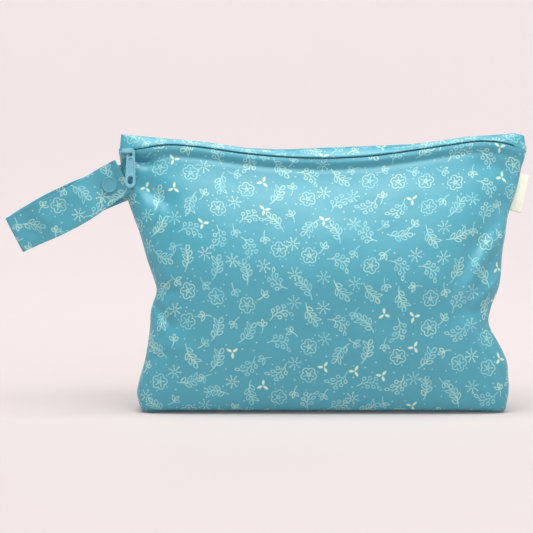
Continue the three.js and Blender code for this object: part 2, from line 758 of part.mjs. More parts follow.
// A turned part of the snap, from a profile of [radius, distance] pairs, the distances going
// forward from the middle of the bag's depth
function turnedPart(profile) {
  const points = profile.map(([radius, out]) => new THREE.Vector2(radius, out));
  const lathe = new THREE.LatheGeometry(points, roundSides);
  return solidOf(lathe.rotateX(Math.PI).translate(snapCentre.x, 0, snapCentre.z));
}

// The cap's edge from its rim to its middle, in shares of its radius and height
const capEdge = [
  { out: 1, rise: 0.22 },
  { out: 1, rise: 0.45 },
  { out: 0.9, rise: 0.8 },
  { out: 0.6, rise: 0.95 },
  { out: 0, rise: 1 },
];

// A cap with a domed face and a post: base is where its rim sits and way is 1 for one that
// faces forward, -1 for one that faces back
function snapCap(base, way, postLength) {
  const radius = snapDiameter / 2;
  return turnedPart([
    [0, base - way * postLength],
    [snapPostRadius, base - way * postLength],
    [snapPostRadius, base],
    [radius - pieceGap, base],
    ...capEdge.map(({ out, rise }) => [radius * out, base + way * snapCapHeight * rise]),
  ]);
}

const snapHole = () => [
  [0, -backFace - holeClear],
  [snapPostRadius + pieceGap, -backFace - holeClear],
  [snapPostRadius + pieceGap, -frontFace + holeClear],
  [0, -frontFace + holeClear],
];

const capSeat = (face, way) => -face + way * pieceGap;
const postReach = strapPly + 2 * pieceGap + socketHeight / 3;

// The socket under the front layer, with a bore for the cap's post and a mouth for the stud
function socketSolid() {
  const top = -frontFace - strapPly - pieceGap;
  const bottom = top - socketHeight;
  const mouth = studNubRadius + pieceGap;
  const bore = snapPostRadius + pieceGap;
  const step = bottom + studNubHeight;
  return turnedPart([
    [bore, top],
    [snapPartDiameter / 2, top],
    [snapPartDiameter / 2, bottom],
    [mouth, bottom],
    [mouth, step],
    [bore, step],
    [bore, top],
  ]);
}

// The stud on the back layer, with its nub in the socket's mouth
function studSolid() {
  const bottom = -backFace + strapPly + pieceGap;
  const top = bottom + studHeight;
  const bore = snapPostRadius + pieceGap;
  const nub = top + studNubHeight;
  return turnedPart([
    [bore, bottom],
    [snapPartDiameter / 2, bottom],
    [snapPartDiameter / 2, top],
    [studNubRadius, top],
    [studNubRadius, nub],
    [bore, nub],
    [bore, bottom],
  ]);
}

// The label: a folded tape whose two layers go into the right seam, cut off at the bag's side
function labelSolid() {
  const top = cornerHeight - labelDrop + labelLength / 2;
  const bottom = top - labelLength;
  const foot = new THREE.Vector3(seamAt(1, bottom), 0, bottom);
  const head = new THREE.Vector3(seamAt(1, top), 0, top);
  const upward = new THREE.Vector3().subVectors(head, foot).normalize();
  const outward = new THREE.Vector3(upward.z, 0, -upward.x);
  const outer = labelPly + labelFoldGap / 2;
  const inner = labelFoldGap / 2;
  const turn = labelReach - outer;
  const arc = (radius, from, to) => spaced(from, to, turnSteps).map((angle) =>
    [turn + radius * Math.cos(angle), radius * Math.sin(angle)]);
  const outline = [
    [-strapSewn, -outer],
    ...arc(outer, -Math.PI / 2, Math.PI / 2),
    [-strapSewn, outer],
    [-strapSewn, inner],
    ...arc(inner, Math.PI / 2, -Math.PI / 2),
    [-strapSewn, -inner],
  ];
  const tape = sweep([0, labelLength], () => outline, (along, [u, v]) =>
    foot.clone().addScaledVector(upward, along).addScaledVector(outward, u)
      .add(new THREE.Vector3(0, v, 0)));
  return tape.subtract(bagForm(-pieceGap));
}

const shell = bagForm(0).subtract(bagForm(clothThickness)).subtract(sliderNotch());

const printedCloth = { color: 0x6db7ca, roughness: 0.6, metalness: 0 };
const zipTape = { color: 0x4f9db2, roughness: 0.8, metalness: 0 };
const zipPlastic = { color: 0x8fcbdb, roughness: 0.35, metalness: 0 };
const snapPlastic = { color: 0x66abc0, roughness: 0.45, metalness: 0 };
const labelCotton = { color: 0xf0f3e4, roughness: 0.85, metalness: 0 };

const wetBag = new THREE.Group();

function addPiece(name, solid, finish) {
  const mesh = new THREE.Mesh(geometryOf(solid), new THREE.MeshStandardMaterial(finish));
  mesh.name = name;
  wetBag.add(mesh);
}

addPiece("front_panel", shell.intersect(frontSpace), printedCloth);
addPiece("back_panel", shell.intersect(backSpace), printedCloth);
addPiece("zip_tape_lower", lowerTape(), zipTape);
addPiece("zip_tape_upper", upperTape(), zipTape);
addPiece("zip_chain", chainSolid(), zipPlastic);
addPiece("zip_slider", sliderSolid(), zipPlastic);
addPiece("zip_pull", pullSolid(), zipPlastic);
addPiece("strap", strapSolid(), printedCloth);
addPiece("snap_cap_front", snapCap(capSeat(frontFace, 1), 1, postReach), snapPlastic);
addPiece("snap_socket", socketSolid(), snapPlastic);
addPiece("snap_stud", studSolid(), snapPlastic);
addPiece("snap_cap_back", snapCap(capSeat(backFace, -1), -1, postReach), snapPlastic);
addPiece("side_label", labelSolid(), labelCotton);

export default wetBag;
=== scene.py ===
# %% [markdown]
# A cloth diaper wet bag, dressed for its photograph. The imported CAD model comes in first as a
# fixed frame: its rigid parts say where everything sits, and every piece made here rides on
# one of its two bodies, the bag or the zip pull. The form is worked out in millimetres, as a
# pattern cutter would, and turned to metres when a mesh is made.

# %% The fixed frame
import json
import math
import bmesh
import bpy
import numpy as np
from mathutils import Matrix, Vector


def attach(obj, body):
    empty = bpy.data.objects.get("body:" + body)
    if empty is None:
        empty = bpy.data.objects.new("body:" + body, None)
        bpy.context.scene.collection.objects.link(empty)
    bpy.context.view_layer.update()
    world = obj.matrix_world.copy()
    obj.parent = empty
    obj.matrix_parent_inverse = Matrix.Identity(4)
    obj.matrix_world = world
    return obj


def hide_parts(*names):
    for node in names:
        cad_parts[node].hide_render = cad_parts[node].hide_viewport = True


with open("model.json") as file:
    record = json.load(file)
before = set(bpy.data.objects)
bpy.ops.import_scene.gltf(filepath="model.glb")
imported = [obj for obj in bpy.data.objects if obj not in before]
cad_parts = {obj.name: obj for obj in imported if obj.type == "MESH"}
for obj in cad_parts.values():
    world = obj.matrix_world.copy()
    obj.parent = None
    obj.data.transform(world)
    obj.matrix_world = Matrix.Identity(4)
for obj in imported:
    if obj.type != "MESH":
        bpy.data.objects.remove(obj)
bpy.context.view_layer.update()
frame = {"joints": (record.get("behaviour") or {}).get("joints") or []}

MM = 0.001

# %% [markdown]
# The camera stands where the photographer's did: in front of the bag and a little above it,
# far enough back that the base hardly shows. It is made first, so that every later view of
# the scene is framed the same way. Colours are shown as they are, with no film curve, so
# that they can be compared with the photograph's.

# %% Camera
CAMERA_DISTANCE = 1500
CAMERA_RISE = math.radians(4)
CAMERA_AIM = Vector((-42.8, 0, 110.4))
CAMERA_LENS = 132.4

toward = Vector((0, math.cos(CAMERA_RISE), -math.sin(CAMERA_RISE)))
camera_data = bpy.data.cameras.new("photo_camera")
camera_data.lens = CAMERA_LENS
camera_data.clip_end = 20
camera = bpy.data.objects.new("photo_camera", camera_data)
camera.location = (CAMERA_AIM - toward * CAMERA_DISTANCE) * MM
camera.rotation_mode = "QUATERNION"
camera.rotation_quaternion = toward.to_track_quat("-Z", "Y")
bpy.context.scene.collection.objects.link(camera)
bpy.context.scene.camera = camera
bpy.context.scene.view_settings.view_transform = "Standard"
print("camera at", [round(v, 3) for v in camera.location])

# %% [markdown]
# Everything made here is a grid of points with faces between its rows, or a turned or cut
# outline. One helper makes a mesh from points in millimetres, and keeps for each corner its
# place on the flat cloth, so that print and weave lie on the cloth as they did on the roll.

# %% Mesh helpers
def make_piece(name, points, faces, cloth_place=None, smooth=True):
    """A mesh object from points in millimetres, with its flat-cloth map if it has one."""
    mesh = bpy.data.meshes.new(name)
    mesh.from_pydata([tuple(p) for p in np.asarray(points) * MM], [], faces)
    if cloth_place is not None:
        layer = mesh.uv_layers.new(name="cloth_mm")
        corners = np.zeros(len(mesh.loops), dtype=np.int32)
        mesh.loops.foreach_get("vertex_index", corners)
        layer.data.foreach_set("uv", np.asarray(cloth_place)[corners].ravel())
    mesh.polygons.foreach_set("use_smooth", [smooth] * len(mesh.polygons))
    mesh.update()
    piece = bpy.data.objects.new(name, mesh)
    bpy.context.scene.collection.objects.link(piece)
    return piece


def grid_faces(rows, columns, closed=False, turned_over=False):
    """Quads between the rows of a grid, with its last column joined to the first if closed,
    and its other side out if turned over."""
    faces = []
    wide = columns if closed else columns - 1
    for r in range(rows - 1):
        for c in range(wide):
            d = (c + 1) % columns
            quad = (r * columns + c, r * columns + d,
                    (r + 1) * columns + d, (r + 1) * columns + c)
            faces.append(quad[::-1] if turned_over else quad)
    return faces


def tube_faces(rows, columns):
    """Faces round a tube of rows, with both of its ends closed."""
    last = (rows - 1) * columns
    ends = [tuple(range(columns))[::-1], tuple(range(last, last + columns))]
    return grid_faces(rows, columns, closed=True) + ends


def finish_piece(piece, body, slot, *nodes):
    """A piece rides on its body and stands for its CAD nodes, which it hides. Its slot is not used.
    """
    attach(piece, body)
    if nodes:
        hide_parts(*nodes)
    print(piece.name, "has", len(piece.data.polygons), "faces")


def thicken(piece, thickness, offset=-1):
    """Gives a sheet its cloth's thickness, in millimetres."""
    solid = piece.modifiers.new("thickness", "SOLIDIFY")
    solid.thickness = thickness * MM
    solid.offset = offset

# %% [markdown]
# The bag is a sewn pouch with a boxed bottom, filled loosely. Its form is a stack of level
# sections: each is a rounded outline, nearly a rectangle at the base and pointed at the side
# seams near the top. The tables hold shares of the bag's own sizes, so a sagging top edge, a
# waist in a side or a fuller belly is one number.

# %% Sizes and tables of the bag
HALF_WIDTH = 155
CORNER_HEIGHT = 212
TOP_SAG = 12
BAND_HEIGHT = 6.8
LIP_SAG = 13.2
FRONT_DEPTH = 40
BACK_DEPTH = 34
TUCK_REACH = 11
FOLD_WIDTH = 10
FOLD_DEPTH = 4
BASE_SEAM = 6

TOP_LINE = {
    "across": [-1, -.9, -.76, -.6, -.4, -.2, 0, .2, .38, .58, .77, .88, .96, 1],
    "top": [.06, .17, .35, .68, .9, 1, .9, .8, .71, .5, .17, .07, 0, .15],
    "lip": [.66, .47, .24, .37, .7, .92, 1, .91, .66, .31, .03, .12, .37, .5],
}
SECTIONS = {
    "rise": [0, .012, .04, .08, .14, .2, .26, .34, .4, .475,
             .53, .6, .68, .76, .84, .9, .94, .965, .985, 1],
    "left": [.868, .89, .906, .916, .905, .887, .877, .868, .866, .836,
             .856, .886, .914, .945, .966, .981, .989, .994, .998, 1],
    "right": [.88, .899, .907, .918, .92, .915, .884, .834, .846, .881,
              .894, .9, .916, .927, .949, .968, .979, .99, .996, 1],
    "front": [.53, .61, .67, .73, .8, .86, .91, .95, .98, 1,
              1, .96, .86, .715, .54, .39, .3, .252, .272, .262],
    "back": [.62, .7, .77, .82, .87, .91, .95, .99, 1, 1,
             .98, .93, .83, .69, .53, .4, .32, .26, .22, .19],
    "square": [8, 7.5, 6.6, 5.6, 4.6, 4, 3.6, 3.3, 3.1, 3.1,
               3, 2.9, 2.8, 2.7, 2.6, 2.5, 2.5, 2.5, 2.5, 2.5],
    "tuck": [0, 0, 0, .1, .3, .5, .7, .9, 1, .9,
             .8, .6, .4, .2, 0, 0, 0, 0, 0, 0],
}


def read_table(table, along, column, at):
    """Values of a column on a smooth curve through the table's rows."""
    stations = np.array(table[along], float)
    values = np.array(table[column], float)
    at = np.asarray(at, float)
    last = len(stations) - 1
    ahead = np.minimum(np.arange(last + 1) + 1, last)
    behind = np.maximum(np.arange(last + 1) - 1, 0)
    slope = (values[ahead] - values[behind]) / (stations[ahead] - stations[behind])
    i = np.clip(np.searchsorted(stations, at, side="left") - 1, 0, last - 1)
    span = stations[i + 1] - stations[i]
    t = np.clip((at - stations[i]) / span, 0, 1)
    blend = t * t * (3 - 2 * t)
    leave = slope[i] * span * t * (1 - t) ** 2
    arrive = slope[i + 1] * span * t * t * (1 - t)
    return values[i] * (1 - blend) + values[i + 1] * blend + leave - arrive


def top_at(across):
    """Height of the top fold."""
    return CORNER_HEIGHT - TOP_SAG * read_table(TOP_LINE, "across", "top", across)


def lip_at(across):
    """Height of the front cloth's lip, under the zip's groove."""
    sag = LIP_SAG * read_table(TOP_LINE, "across", "lip", across)
    return CORNER_HEIGHT - BAND_HEIGHT - sag


def section_at(rise):
    """The section at a share of the lip's height."""
    return {name: float(read_table(SECTIONS, "rise", name, rise))
            for name in SECTIONS if name != "rise"}


print("top fold sags to", round(float(top_at(0)), 1), "mm, lip to", round(float(lip_at(0)), 1))

# %% [markdown]
# A row of the cloth is one level section, cut into steps of equal length along the cloth, so
# the grid's cells are as wide at the rounded sides as in the middle. The length along the row
# is also the place across the flat cloth.

# %% Rows of the cloth
CURVE_SAMPLES = 400


def quarter_row(half, depth, power, count):
    """Points of a rounded outline from the side to the middle, evenly spaced along it."""
    angle = np.linspace(0, math.pi / 2, CURVE_SAMPLES)
    x = half * np.cos(angle) ** (2 / power)
    y = depth * np.sin(angle) ** (2 / power)
    x[-1], y[0] = 0, 0
    run = np.concatenate([[0], np.cumsum(np.hypot(np.diff(x), np.diff(y)))])
    want = np.linspace(0, run[-1], count + 1)
    return np.interp(want, run, x), np.interp(want, run, y), run[-1] - want


def cloth_row(section, side, columns, depth_share=1.0):
    """One row from the left seam to the right: x, y, place along it, and the share across."""
    half_count = columns // 2
    if side == "front":
        depth = section["front"] * FRONT_DEPTH * depth_share
        way = -1
    else:
        depth = section["back"] * BACK_DEPTH * depth_share
        way = 1
    left = section["left"] * HALF_WIDTH
    right = section["right"] * HALF_WIDTH
    lx, ly, lu = quarter_row(left, depth, section["square"], half_count)
    rx, ry, ru = quarter_row(right, depth, section["square"], half_count)
    x = np.concatenate([-lx, rx[::-1][1:]])
    y = way * np.concatenate([ly, ry[::-1][1:]])
    along = np.concatenate([-lu, ru[::-1][1:]])
    across = np.where(x < 0, x / left, x / right)
    return x, y, along, across

# %% [markdown]
# Loose cloth over a soft filling folds where the side is pushed in. Each fold is a curve on
# the front with a width and a depth; a fan of them runs in from the right side, a few from
# the left, and shallow hollows hang under the zip. A soft noise adds the small unevenness
# that no list of folds can.

# %% Folds
# start, middle and end as shares across and up; width and depth as multiples of a fold's
FOLDS = {
    "valley_under_label": ((.95, .78), (.77, .7), (.64, .47), .85, 1.7),
    "ridge_under_label": ((.88, .68), (.76, .6), (.68, .42), .6, -.8),
    "valley_at_waist": ((.87, .62), (.77, .52), (.69, .38), .6, 1.5),
    "ridge_at_waist": ((.85, .51), (.79, .47), (.73, .4), .6, -.7),
    "pleat_at_side": ((.9, .61), (.83, .51), (.76, .44), .3, .9),
    "crease_at_waist": ((.88, .43), (.8, .405), (.72, .37), .45, 1.4),
    "ridge_below_waist": ((.84, .38), (.77, .36), (.68, .32), .7, -.8),
    "dent_under_zip_end": ((.76, .93), (.87, .915), (.97, .9), .7, .9),
    "hollow_by_label": ((.93, .86), (.9, .8), (.83, .75), .7, 1.0),
    "crease_by_slider": ((-.94, .972), (-.9, .953), (-.82, .945), .4, 1.9),
    "dent_behind_pull": ((-.93, .885), (-.86, .84), (-.74, .785), .7, 1.5),
    "crease_left": ((-.86, .475), (-.82, .4), (-.73, .33), .36, 1.4),
    "valley_left": ((-.85, .41), (-.8, .37), (-.66, .33), .8, .5),
    "ridge_left": ((-.86, .29), (-.78, .26), (-.66, .25), .8, -.6),
    "hollow_in_middle": ((-.02, .97), (-.02, .9), (-.01, .8), 1.8, .5),
}
FOLD_STEPS = 24
FOLD_SHARPNESS = 0.8
NOISE_CELLS = 80
GATHER_FROM = 0.8
GATHER_DEPTH = 1.5
GATHER_CELL = 7
GATHER_STRETCH = 2.4
GATHER_SLANT = 0.3
GATHER_POWER = 3
GATHER_LEVEL = 0.4


def fold_push(x, z):
    """How far the front cloth is pushed in at each place."""
    push = np.zeros_like(x)
    share = np.arange(1, FOLD_STEPS) / FOLD_STEPS
    for start, middle, end, width, depth in FOLDS.values():
        fx, fz = [], []
        for fold_x, fold_z in (start, middle, end):
            fx.append(fold_x * HALF_WIDTH)
            fz.append(fold_z * float(lip_at(fold_x)))
        near = (1 - share) ** 2, 2 * share * (1 - share), share ** 2
        px = sum(w * v for w, v in zip(near, fx))
        pz = sum(w * v for w, v in zip(near, fz))
        strength = np.sqrt(np.sin(math.pi * share))
        felt = np.zeros_like(x)
        for cx, cz, s in zip(px, pz, strength):
            gap = ((x - cx) ** 2 + (z - cz) ** 2) / (width * FOLD_WIDTH) ** 2
            felt = np.maximum(felt, s * np.exp(-gap ** FOLD_SHARPNESS))
        push += depth * FOLD_DEPTH * felt
    return push


def soft_noise(x, z, cell, seed, stretch=1.0):
    """Smooth noise from -1 to 1 whose bumps are about one cell apart, stretched upwards."""
    lattice = np.random.default_rng(seed).uniform(-1, 1, (NOISE_CELLS, NOISE_CELLS))
    u = x / cell + NOISE_CELLS / 2
    v = z / (cell * stretch) + NOISE_CELLS / 4
    i, j = (np.floor(place).astype(int) % (NOISE_CELLS - 1) for place in (u, v))
    s, t = u - np.floor(u), v - np.floor(v)
    s, t = s * s * (3 - 2 * s), t * t * (3 - 2 * t)
    low = lattice[i, j] * (1 - s) + lattice[i + 1, j] * s
    high = lattice[i, j + 1] * (1 - s) + lattice[i + 1, j + 1] * s
    return low * (1 - t) + high * t


def side_gathers(x, z, across, seed):
    """Small creases where the cloth is gathered at its side seams."""
    near_seam = np.clip((np.abs(across) - GATHER_FROM) / (1 - GATHER_FROM), 0, 1)
    fade = near_seam * (1 - near_seam) * 4
    slanted = x + GATHER_SLANT * z * np.sign(x)
    crease = 1 - np.abs(soft_noise(slanted, z, GATHER_CELL, seed, GATHER_STRETCH))
    return GATHER_DEPTH * (crease ** GATHER_POWER - GATHER_LEVEL) * fade


print(len(FOLDS), "folds on the front")

# %% [markdown]
# The front cloth is one sheet from the base seam, round under the front edge and up to the
# zip, where it is turned over the zip's tape. The foot turns under in a round edge, with a
# small gap above the floor where the shade gathers. The edge at the zip is a soft roll with a
# crease under it, and its hem leans back into the bag.

# %% Front cloth
FRONT_COLUMNS = 240
FOOT_ROWS = 22
FOOT_HEIGHT = 10
PANEL_ROWS = 104
ROLL_ROWS = 26
ROLL_SHARE = 0.91
BASE_ROWS = 8
HEM_STEPS = 6
HEM_REACH = 5
HEM_LEAN = 0.9
HEM_RADIUS = 0.7
ROLL_HEIGHT = 1.8
ROLL_SWELL = 0.45
ROLL_SPREAD = 1.6
CREASE_DROP = 7.4
CREASE_DEPTH = 0.7
CREASE_SPREAD = 1.8
FOOT_ROUND = 7
FOOT_GAP_HEIGHT = 3.2
FOOT_GAP_DEPTH = 5
FOOT_GAP_SOFT = 0.8
CLOTH_THICKNESS = 0.5
WRINKLE = 0.35
WRINKLE_CELL = 17
WRINKLE_START = 8
SEAM_FADE = 8
TUCK_FADE = 4
BASE_LIFT = 0.3
SEEDS = {"front_wrinkles": 3, "back_wrinkles": 5, "back_swell": 11,
         "front_gathers": 21, "back_gathers": 22}


def smoothstep(low, high, at):
    """0 below low, 1 above high, and smooth between."""
    t = np.clip((np.asarray(at, float) - low) / (high - low), 0, 1)
    return t * t * (3 - 2 * t)


def edge_share(y):
    """1 where the bag's mouth is deep and 0 where it closes at the side seams."""
    return np.clip(-y / (FRONT_DEPTH * SECTIONS["front"][-1]), 0, 1)


def foot_push(z):
    """How far the foot turns under: a rounded edge, and under it a gap above the floor."""
    down = np.clip(1 - z / FOOT_HEIGHT, 0, 1)
    gap = 1 - smoothstep(FOOT_GAP_HEIGHT * FOOT_GAP_SOFT, FOOT_GAP_HEIGHT, z)
    return FOOT_ROUND * (1 - np.sqrt(1 - down ** 2)) + FOOT_GAP_DEPTH * gap


def off_seams(across):
    """1 over most of the cloth and 0 at its side seams, where nothing pushes it."""
    return 1 - np.abs(across) ** SEAM_FADE


def wrinkles(x, z, seed, edge, rise):
    """The small unevenness of loose cloth, which starts just above the base."""
    noise = soft_noise(x, z, WRINKLE_CELL, seed)
    return WRINKLE * noise * edge * min(1, rise * WRINKLE_START)


def tucked_in(x, y, across, section):
    """Places across, drawn in at the side seams by the section's tuck."""
    tuck = section["tuck"] * TUCK_REACH * np.exp(-(y / TUCK_REACH) ** 2)
    return x - np.sign(x) * tuck * np.abs(across) ** TUCK_FADE


def base_rows(foot, seam, reach):
    """Rows of the boxed base, from its seam out to a panel's foot."""
    x, _, z, along = foot
    return [(x, seam + reach * share, z + BASE_LIFT * math.sin(math.pi * share), along)
            for share in np.arange(BASE_ROWS) / BASE_ROWS]


def turned_edge(row, way):
    """Rows that roll a cloth's edge over to its inside, over its top if way is 1."""
    x, y, z, along = row
    turns = [math.pi * k / HEM_STEPS for k in range(1, HEM_STEPS + 1)]
    return [(x, y + HEM_RADIUS * (1 - math.cos(turn)),
             z + way * HEM_RADIUS * math.sin(turn), along) for turn in turns]


def front_rows():
    """The rows of the front cloth, from the base seam to the inside of its turned edge."""
    rows = []
    foot_share = FOOT_HEIGHT / float(lip_at(0))
    rises = np.concatenate([np.linspace(0, foot_share, FOOT_ROWS, endpoint=False),
                            np.linspace(foot_share, ROLL_SHARE, PANEL_ROWS, endpoint=False),
                            np.linspace(ROLL_SHARE, 1, ROLL_ROWS)])
    for rise in rises:
        section = section_at(rise)
        x, y, along, across = cloth_row(section, "front", FRONT_COLUMNS)
        z = lip_at(across) * rise
        edge = off_seams(across)
        below = lip_at(across) - z
        roll = ROLL_SWELL * np.exp(-((below - ROLL_HEIGHT) / ROLL_SPREAD) ** 2)
        crease = CREASE_DEPTH * np.exp(-((below - CREASE_DROP) / CREASE_SPREAD) ** 2)
        push = (fold_push(x, z) + crease - roll + foot_push(z)) * edge
        push += wrinkles(x, z, SEEDS["front_wrinkles"], edge, rise)
        push += side_gathers(x, z, across, SEEDS["front_gathers"]) * math.sin(math.pi * rise)
        rows.append((tucked_in(x, y, across, section), y + push, z, along))
    foot, lip = rows[0], rows[-1]
    base = base_rows(foot, BASE_SEAM, foot[1] - BASE_SEAM)
    hem = turned_edge(lip, 1)
    x, y, z, along = hem[-1]
    for k in range(1, HEM_STEPS + 1):
        inward = k / HEM_STEPS * edge_share(lip[1])
        hem.append((x, y + HEM_LEAN * inward, z - HEM_REACH * inward, along))
    return base + rows + hem


def sheet_from_rows(name, rows, place_start, turned_over=False):
    """A sheet from rows of (x, y, z, along), with its place on the flat cloth."""
    points = np.array([np.stack(row[:3], axis=-1) for row in rows])
    along = np.array([row[3] for row in rows])
    middle = points[:, points.shape[1] // 2]
    steps = np.linalg.norm(np.diff(middle, axis=0), axis=1)
    up = np.concatenate([[0], np.cumsum(steps)]) + place_start
    place = np.stack([along, np.repeat(up[:, None], along.shape[1], axis=1)], axis=-1)
    faces = grid_faces(points.shape[0], points.shape[1], turned_over=turned_over)
    return make_piece(name, points.reshape(-1, 3), faces, place.reshape(-1, 2))


front_cloth = sheet_from_rows("front_cloth", front_rows(), 0)
thicken(front_cloth, CLOTH_THICKNESS)
finish_piece(front_cloth, "bag", "printed_cloth", "front_panel")

# %% [markdown]
# The back cloth rises from the base seam up the back and comes over the top as a band, which
# ends turned under just above the zip. A fold in real cloth is tight on top and slack on
# both sides, so the band's profile is flatter than a half ellipse. The folds that start at
# the sides run on over the back, where they are shallower.

# %% Back cloth
BACK_COLUMNS = 200
BACK_ROWS = 90
BAND_PROFILE = {
    "share": [0, .12, .26, .38, .46, .5, .54, .62, .76, .9, 1],
    "depth": [1, .93, .7, .4, .14, 0, -.1, -.34, -.72, -.96, -1],
    "height": [0, .42, .78, .95, .995, 1, .995, .9, .5, .14, 0],
}
BAND_ROWS = 36
BACK_PLACE = 300
BACK_ROW_POWER = 1.1
BACK_SWELL = 1.6
BACK_SWELL_CELL = 45
BACK_FOLD_SHARE = 0.55
SEAM_GAP = 0.3
SEAM_LEAST = 0.01
BAND_NARROWS = 0.01
BAND_HEM = 3
BAND_DENT_AT = -149
BAND_DENT_HALF = 3.5
BAND_DENT = 1.6
GROOVE_OPEN = 2.3
GROOVE_SHUT = 0.8
ZIP_LEFT, ZIP_RIGHT = -143.7, 146
ZIP_END = 3


def groove_at(x):
    """How far above the lip the band's edge stands: open along the zip, shut past its ends."""
    opened = smoothstep(ZIP_LEFT - ZIP_END, ZIP_LEFT, x)
    opened = opened * (1 - smoothstep(ZIP_RIGHT - ZIP_END, ZIP_RIGHT + ZIP_END, x))
    return GROOVE_SHUT + (GROOVE_OPEN - GROOVE_SHUT) * opened


def back_rows():
    """The rows of the back cloth, from the base seam over the top to its turned edge."""
    rows = []
    for rise in np.linspace(0, 1, BACK_ROWS) ** BACK_ROW_POWER:
        section = section_at(rise)
        x, y, along, across = cloth_row(section, "back", BACK_COLUMNS)
        z = lip_at(across) * rise
        edge = off_seams(across)
        inner = math.sin(math.pi * rise)
        swell = BACK_SWELL * soft_noise(x, z, BACK_SWELL_CELL, SEEDS["back_swell"])
        y = y + swell * edge * inner
        y = y + wrinkles(x, z, SEEDS["back_wrinkles"], edge, rise)
        y = y - BACK_FOLD_SHARE * fold_push(x, z) * edge * inner
        y = y - side_gathers(x, z, across, SEEDS["back_gathers"]) * inner
        rows.append((tucked_in(x, y, across, section), y, z, along))
    foot_reach = np.maximum(rows[0][1] - BASE_SEAM - SEAM_GAP, SEAM_LEAST)
    base = base_rows(rows[0], BASE_SEAM + SEAM_GAP, foot_reach)
    band = []
    section = section_at(1)
    for share in np.linspace(0, 1, BAND_ROWS + 1)[1:]:
        depth = float(read_table(BAND_PROFILE, "share", "depth", share))
        height = float(read_table(BAND_PROFILE, "share", "height", share))
        side = "back" if depth > 0 else "front"
        x, y, along, across = cloth_row(section, side, BACK_COLUMNS, abs(depth))
        low = lip_at(across) + (groove_at(x) if depth <= 0 else 0)
        z = low + (top_at(across) - low) * height
        dent = BAND_DENT * np.exp(-((x - BAND_DENT_AT) / BAND_DENT_HALF) ** 2)
        band.append((x * (1 - BAND_NARROWS * height), y + dent * edge_share(y), z, along))
    band += turned_edge(band[-1], -1)
    x, y, z, along = band[-1]
    for k in range(1, HEM_STEPS + 1):
        rise = BAND_HEM * k / HEM_STEPS
        band.append((x, y + rise * edge_share(y), z + rise, along))
    return base + rows + band


back_cloth = sheet_from_rows("back_cloth", back_rows(), BACK_PLACE, turned_over=True)
thicken(back_cloth, CLOTH_THICKNESS)
finish_piece(back_cloth, "bag", "printed_cloth", "back_panel")

# %% [markdown]
# The zip runs in the groove between the band and the lip. Its two woven tapes are sewn behind
# the cloth, so only a thin dark line of them shows, with the closed teeth between. The tapes
# are narrow strips that follow the lip, and each tooth is one small moulded block, set on
# alternate tapes as in any zip.

# %% Zip tapes and teeth
ZIP_STEPS = 160
TAPE_BEHIND = 1.9
TAPE_HEIGHT = 9
TAPE_ROWS = 5
TAPE_THICKNESS = 0.5
UPPER_TAPE_HEIGHT = 5
LOWER_TAPE_LEAN = 5.0
UPPER_TAPE_LEAN = 4.5
CHAIN_MIDDLE = -0.6
CHAIN_HALF = 1
TOOTH_PITCH = 2.0
TOOTH_HEIGHT = 2.6
TOOTH_WIDTH = 1.25
TOOTH_DEPTH = 1.4
TOOTH_BEVEL = 0.3
TOOTH_STAGGER = 0.5
TOOTH_SUNK = 0.2


def lip_line(x):
    """Front face of the cloth at the lip, and the lip's height, at places along the zip."""
    section = section_at(1)
    across = np.asarray(x, float) / HALF_WIDTH
    share = (1 - np.abs(across) ** section["square"]) ** (1 / section["square"])
    return -section["front"] * FRONT_DEPTH * share, lip_at(across)


def tape_strip(name, low, high, lean_low, lean_high):
    """A strip of tape behind the groove, between two heights from the lip, whose edges lean
    back into the bag."""
    x = np.linspace(ZIP_LEFT, ZIP_RIGHT, ZIP_STEPS)
    face, lip = lip_line(x)
    rows = []
    for share in np.linspace(0, 1, TAPE_ROWS):
        lean = lean_low * (1 - share) ** 2 + lean_high * share
        y = face + TAPE_BEHIND + lean * edge_share(face)
        rows.append((x, y, lip + low + (high - low) * share, x))
    tape = sheet_from_rows(name, rows, 0)
    thicken(tape, TAPE_THICKNESS)
    return tape


chain_low, chain_high = CHAIN_MIDDLE - CHAIN_HALF, CHAIN_MIDDLE + CHAIN_HALF
tape_lower = tape_strip("zip_tape_below", chain_low - TAPE_HEIGHT, chain_low,
                        LOWER_TAPE_LEAN, 0.0)
finish_piece(tape_lower, "bag", "zip_tape", "zip_tape_lower")
tape_upper = tape_strip("zip_tape_above", chain_high, chain_high + UPPER_TAPE_HEIGHT,
                        0.0, UPPER_TAPE_LEAN)
finish_piece(tape_upper, "bag", "zip_tape", "zip_tape_upper")


def tooth_block():
    """One tooth, a block with cut edges centred at the origin, as its corners and sides."""
    shape = bmesh.new()
    bmesh.ops.create_cube(shape, size=1)
    bmesh.ops.scale(shape, vec=(TOOTH_WIDTH, TOOTH_DEPTH, TOOTH_HEIGHT), verts=shape.verts)
    bmesh.ops.bevel(shape, geom=shape.edges[:], offset=TOOTH_BEVEL, segments=1,
                    profile=0.5, affect="EDGES")
    corners = np.array([v.co for v in shape.verts])
    sides = [[v.index for v in f.verts] for f in shape.faces]
    shape.free()
    return corners, sides


def make_teeth():
    """The closed teeth, each with its head over the middle of the chain."""
    corners, sides = tooth_block()
    points, faces = [], []
    for i, x in enumerate(np.arange(ZIP_LEFT, ZIP_RIGHT, TOOTH_PITCH / 2)):
        face, lip = lip_line(x)
        up = CHAIN_MIDDLE + (TOOTH_STAGGER if i % 2 else -TOOTH_STAGGER)
        back = TAPE_BEHIND - TOOTH_DEPTH / 2 + TOOTH_SUNK
        middle = np.array([x, float(face) + back, float(lip) + up])
        faces += [[c + len(points) for c in side] for side in sides]
        points += list(corners + middle)
    return make_piece("zip_teeth", points, faces)


zip_teeth = make_teeth()
finish_piece(zip_teeth, "bag", "zip_plastic", "zip_chain")

